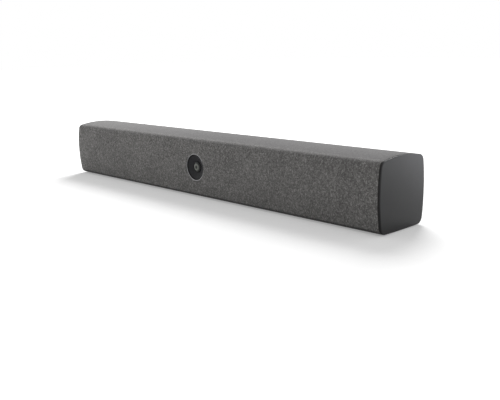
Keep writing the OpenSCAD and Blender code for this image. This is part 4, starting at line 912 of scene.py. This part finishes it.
FLOOR_HALF, FLOOR_WHITE = 6, 0.8
FADE_STARTS, FADE_ENDS, GLOW_NEAR, GLOW_FAR = 0.35, 1.1, 0.27, 1.0
floor_mesh = bpy.data.meshes.new("floor")
floor_mesh.from_pydata(
    [(x * FLOOR_HALF, y * FLOOR_HALF, 0) for x, y in ((-1, -1), (1, -1), (1, 1), (-1, 1))],
    [], [(0, 1, 2, 3)])
floor = bpy.data.objects.new("floor", floor_mesh)
bpy.context.scene.collection.objects.link(floor)
paint = Finish("white_floor", 1.0, Base_Color=(FLOOR_WHITE, FLOOR_WHITE, FLOOR_WHITE, 1),
               Specular_IOR_Level=0.0, Emission_Color=(1, 1, 1, 1))
distance = paint.add("VectorMath", {"operation": "LENGTH"}, i0=paint.place).outputs["Value"]
rise = paint.spread(distance, FADE_STARTS, FADE_ENDS, GLOW_NEAR, GLOW_FAR)
glow = paint.math("MULTIPLY", seen_directly(paint.tree), rise)
paint.tree.links.new(glow, paint.skin.inputs["Emission Strength"])
floor_mesh.materials.append(paint.material)
print(f"floor glows from {GLOW_NEAR} at {FADE_STARTS} m to {GLOW_FAR} at {FADE_ENDS} m")

# %% The world and the lamps
SKY = 0.5
world = bpy.data.worlds.new("studio")
bpy.context.scene.world = world
world.use_nodes = True
sky = world.node_tree
sky.nodes.clear()
soft, white = sky.nodes.new("ShaderNodeBackground"), sky.nodes.new("ShaderNodeBackground")
soft.inputs["Color"].default_value = white.inputs["Color"].default_value = (1, 1, 1, 1)
soft.inputs["Strength"].default_value = SKY
white.inputs["Strength"].default_value = 1.0
either, out = sky.nodes.new("ShaderNodeMixShader"), sky.nodes.new("ShaderNodeOutputWorld")
for source, target in ((seen_directly(sky), either.inputs[0]), (soft.outputs[0], either.inputs[1]),
                       (white.outputs[0], either.inputs[2]), (either.outputs[0], out.inputs[0])):
    sky.links.new(source, target)


def softbox(name, place, target, size, power):
    """A square area lamp at place that faces target."""
    lamp = bpy.data.objects.new(name, bpy.data.lights.new(name, "AREA"))
    lamp.data.size, lamp.data.energy = size, power
    away = np.array(place, dtype=float) - np.array(target, dtype=float)
    away /= np.linalg.norm(away)
    level = np.cross([0, 0, 1], away)
    level /= np.linalg.norm(level)
    lamp.matrix_world = placed((level, np.cross(away, level), away), place)
    bpy.context.scene.collection.objects.link(lamp)


softbox("top_light", place=(-0.66, 1.08, 1.2), target=(0, 0, 0), size=0.9, power=35.0)
softbox("rear_right_light", place=(0.86, 0.9, 0.24), target=(0.278, 0, 0.06), size=0.3, power=0.7)
bpy.context.scene.view_settings.view_transform = "Standard"
print(f"world at {SKY}, two softboxes, view transform Standard")
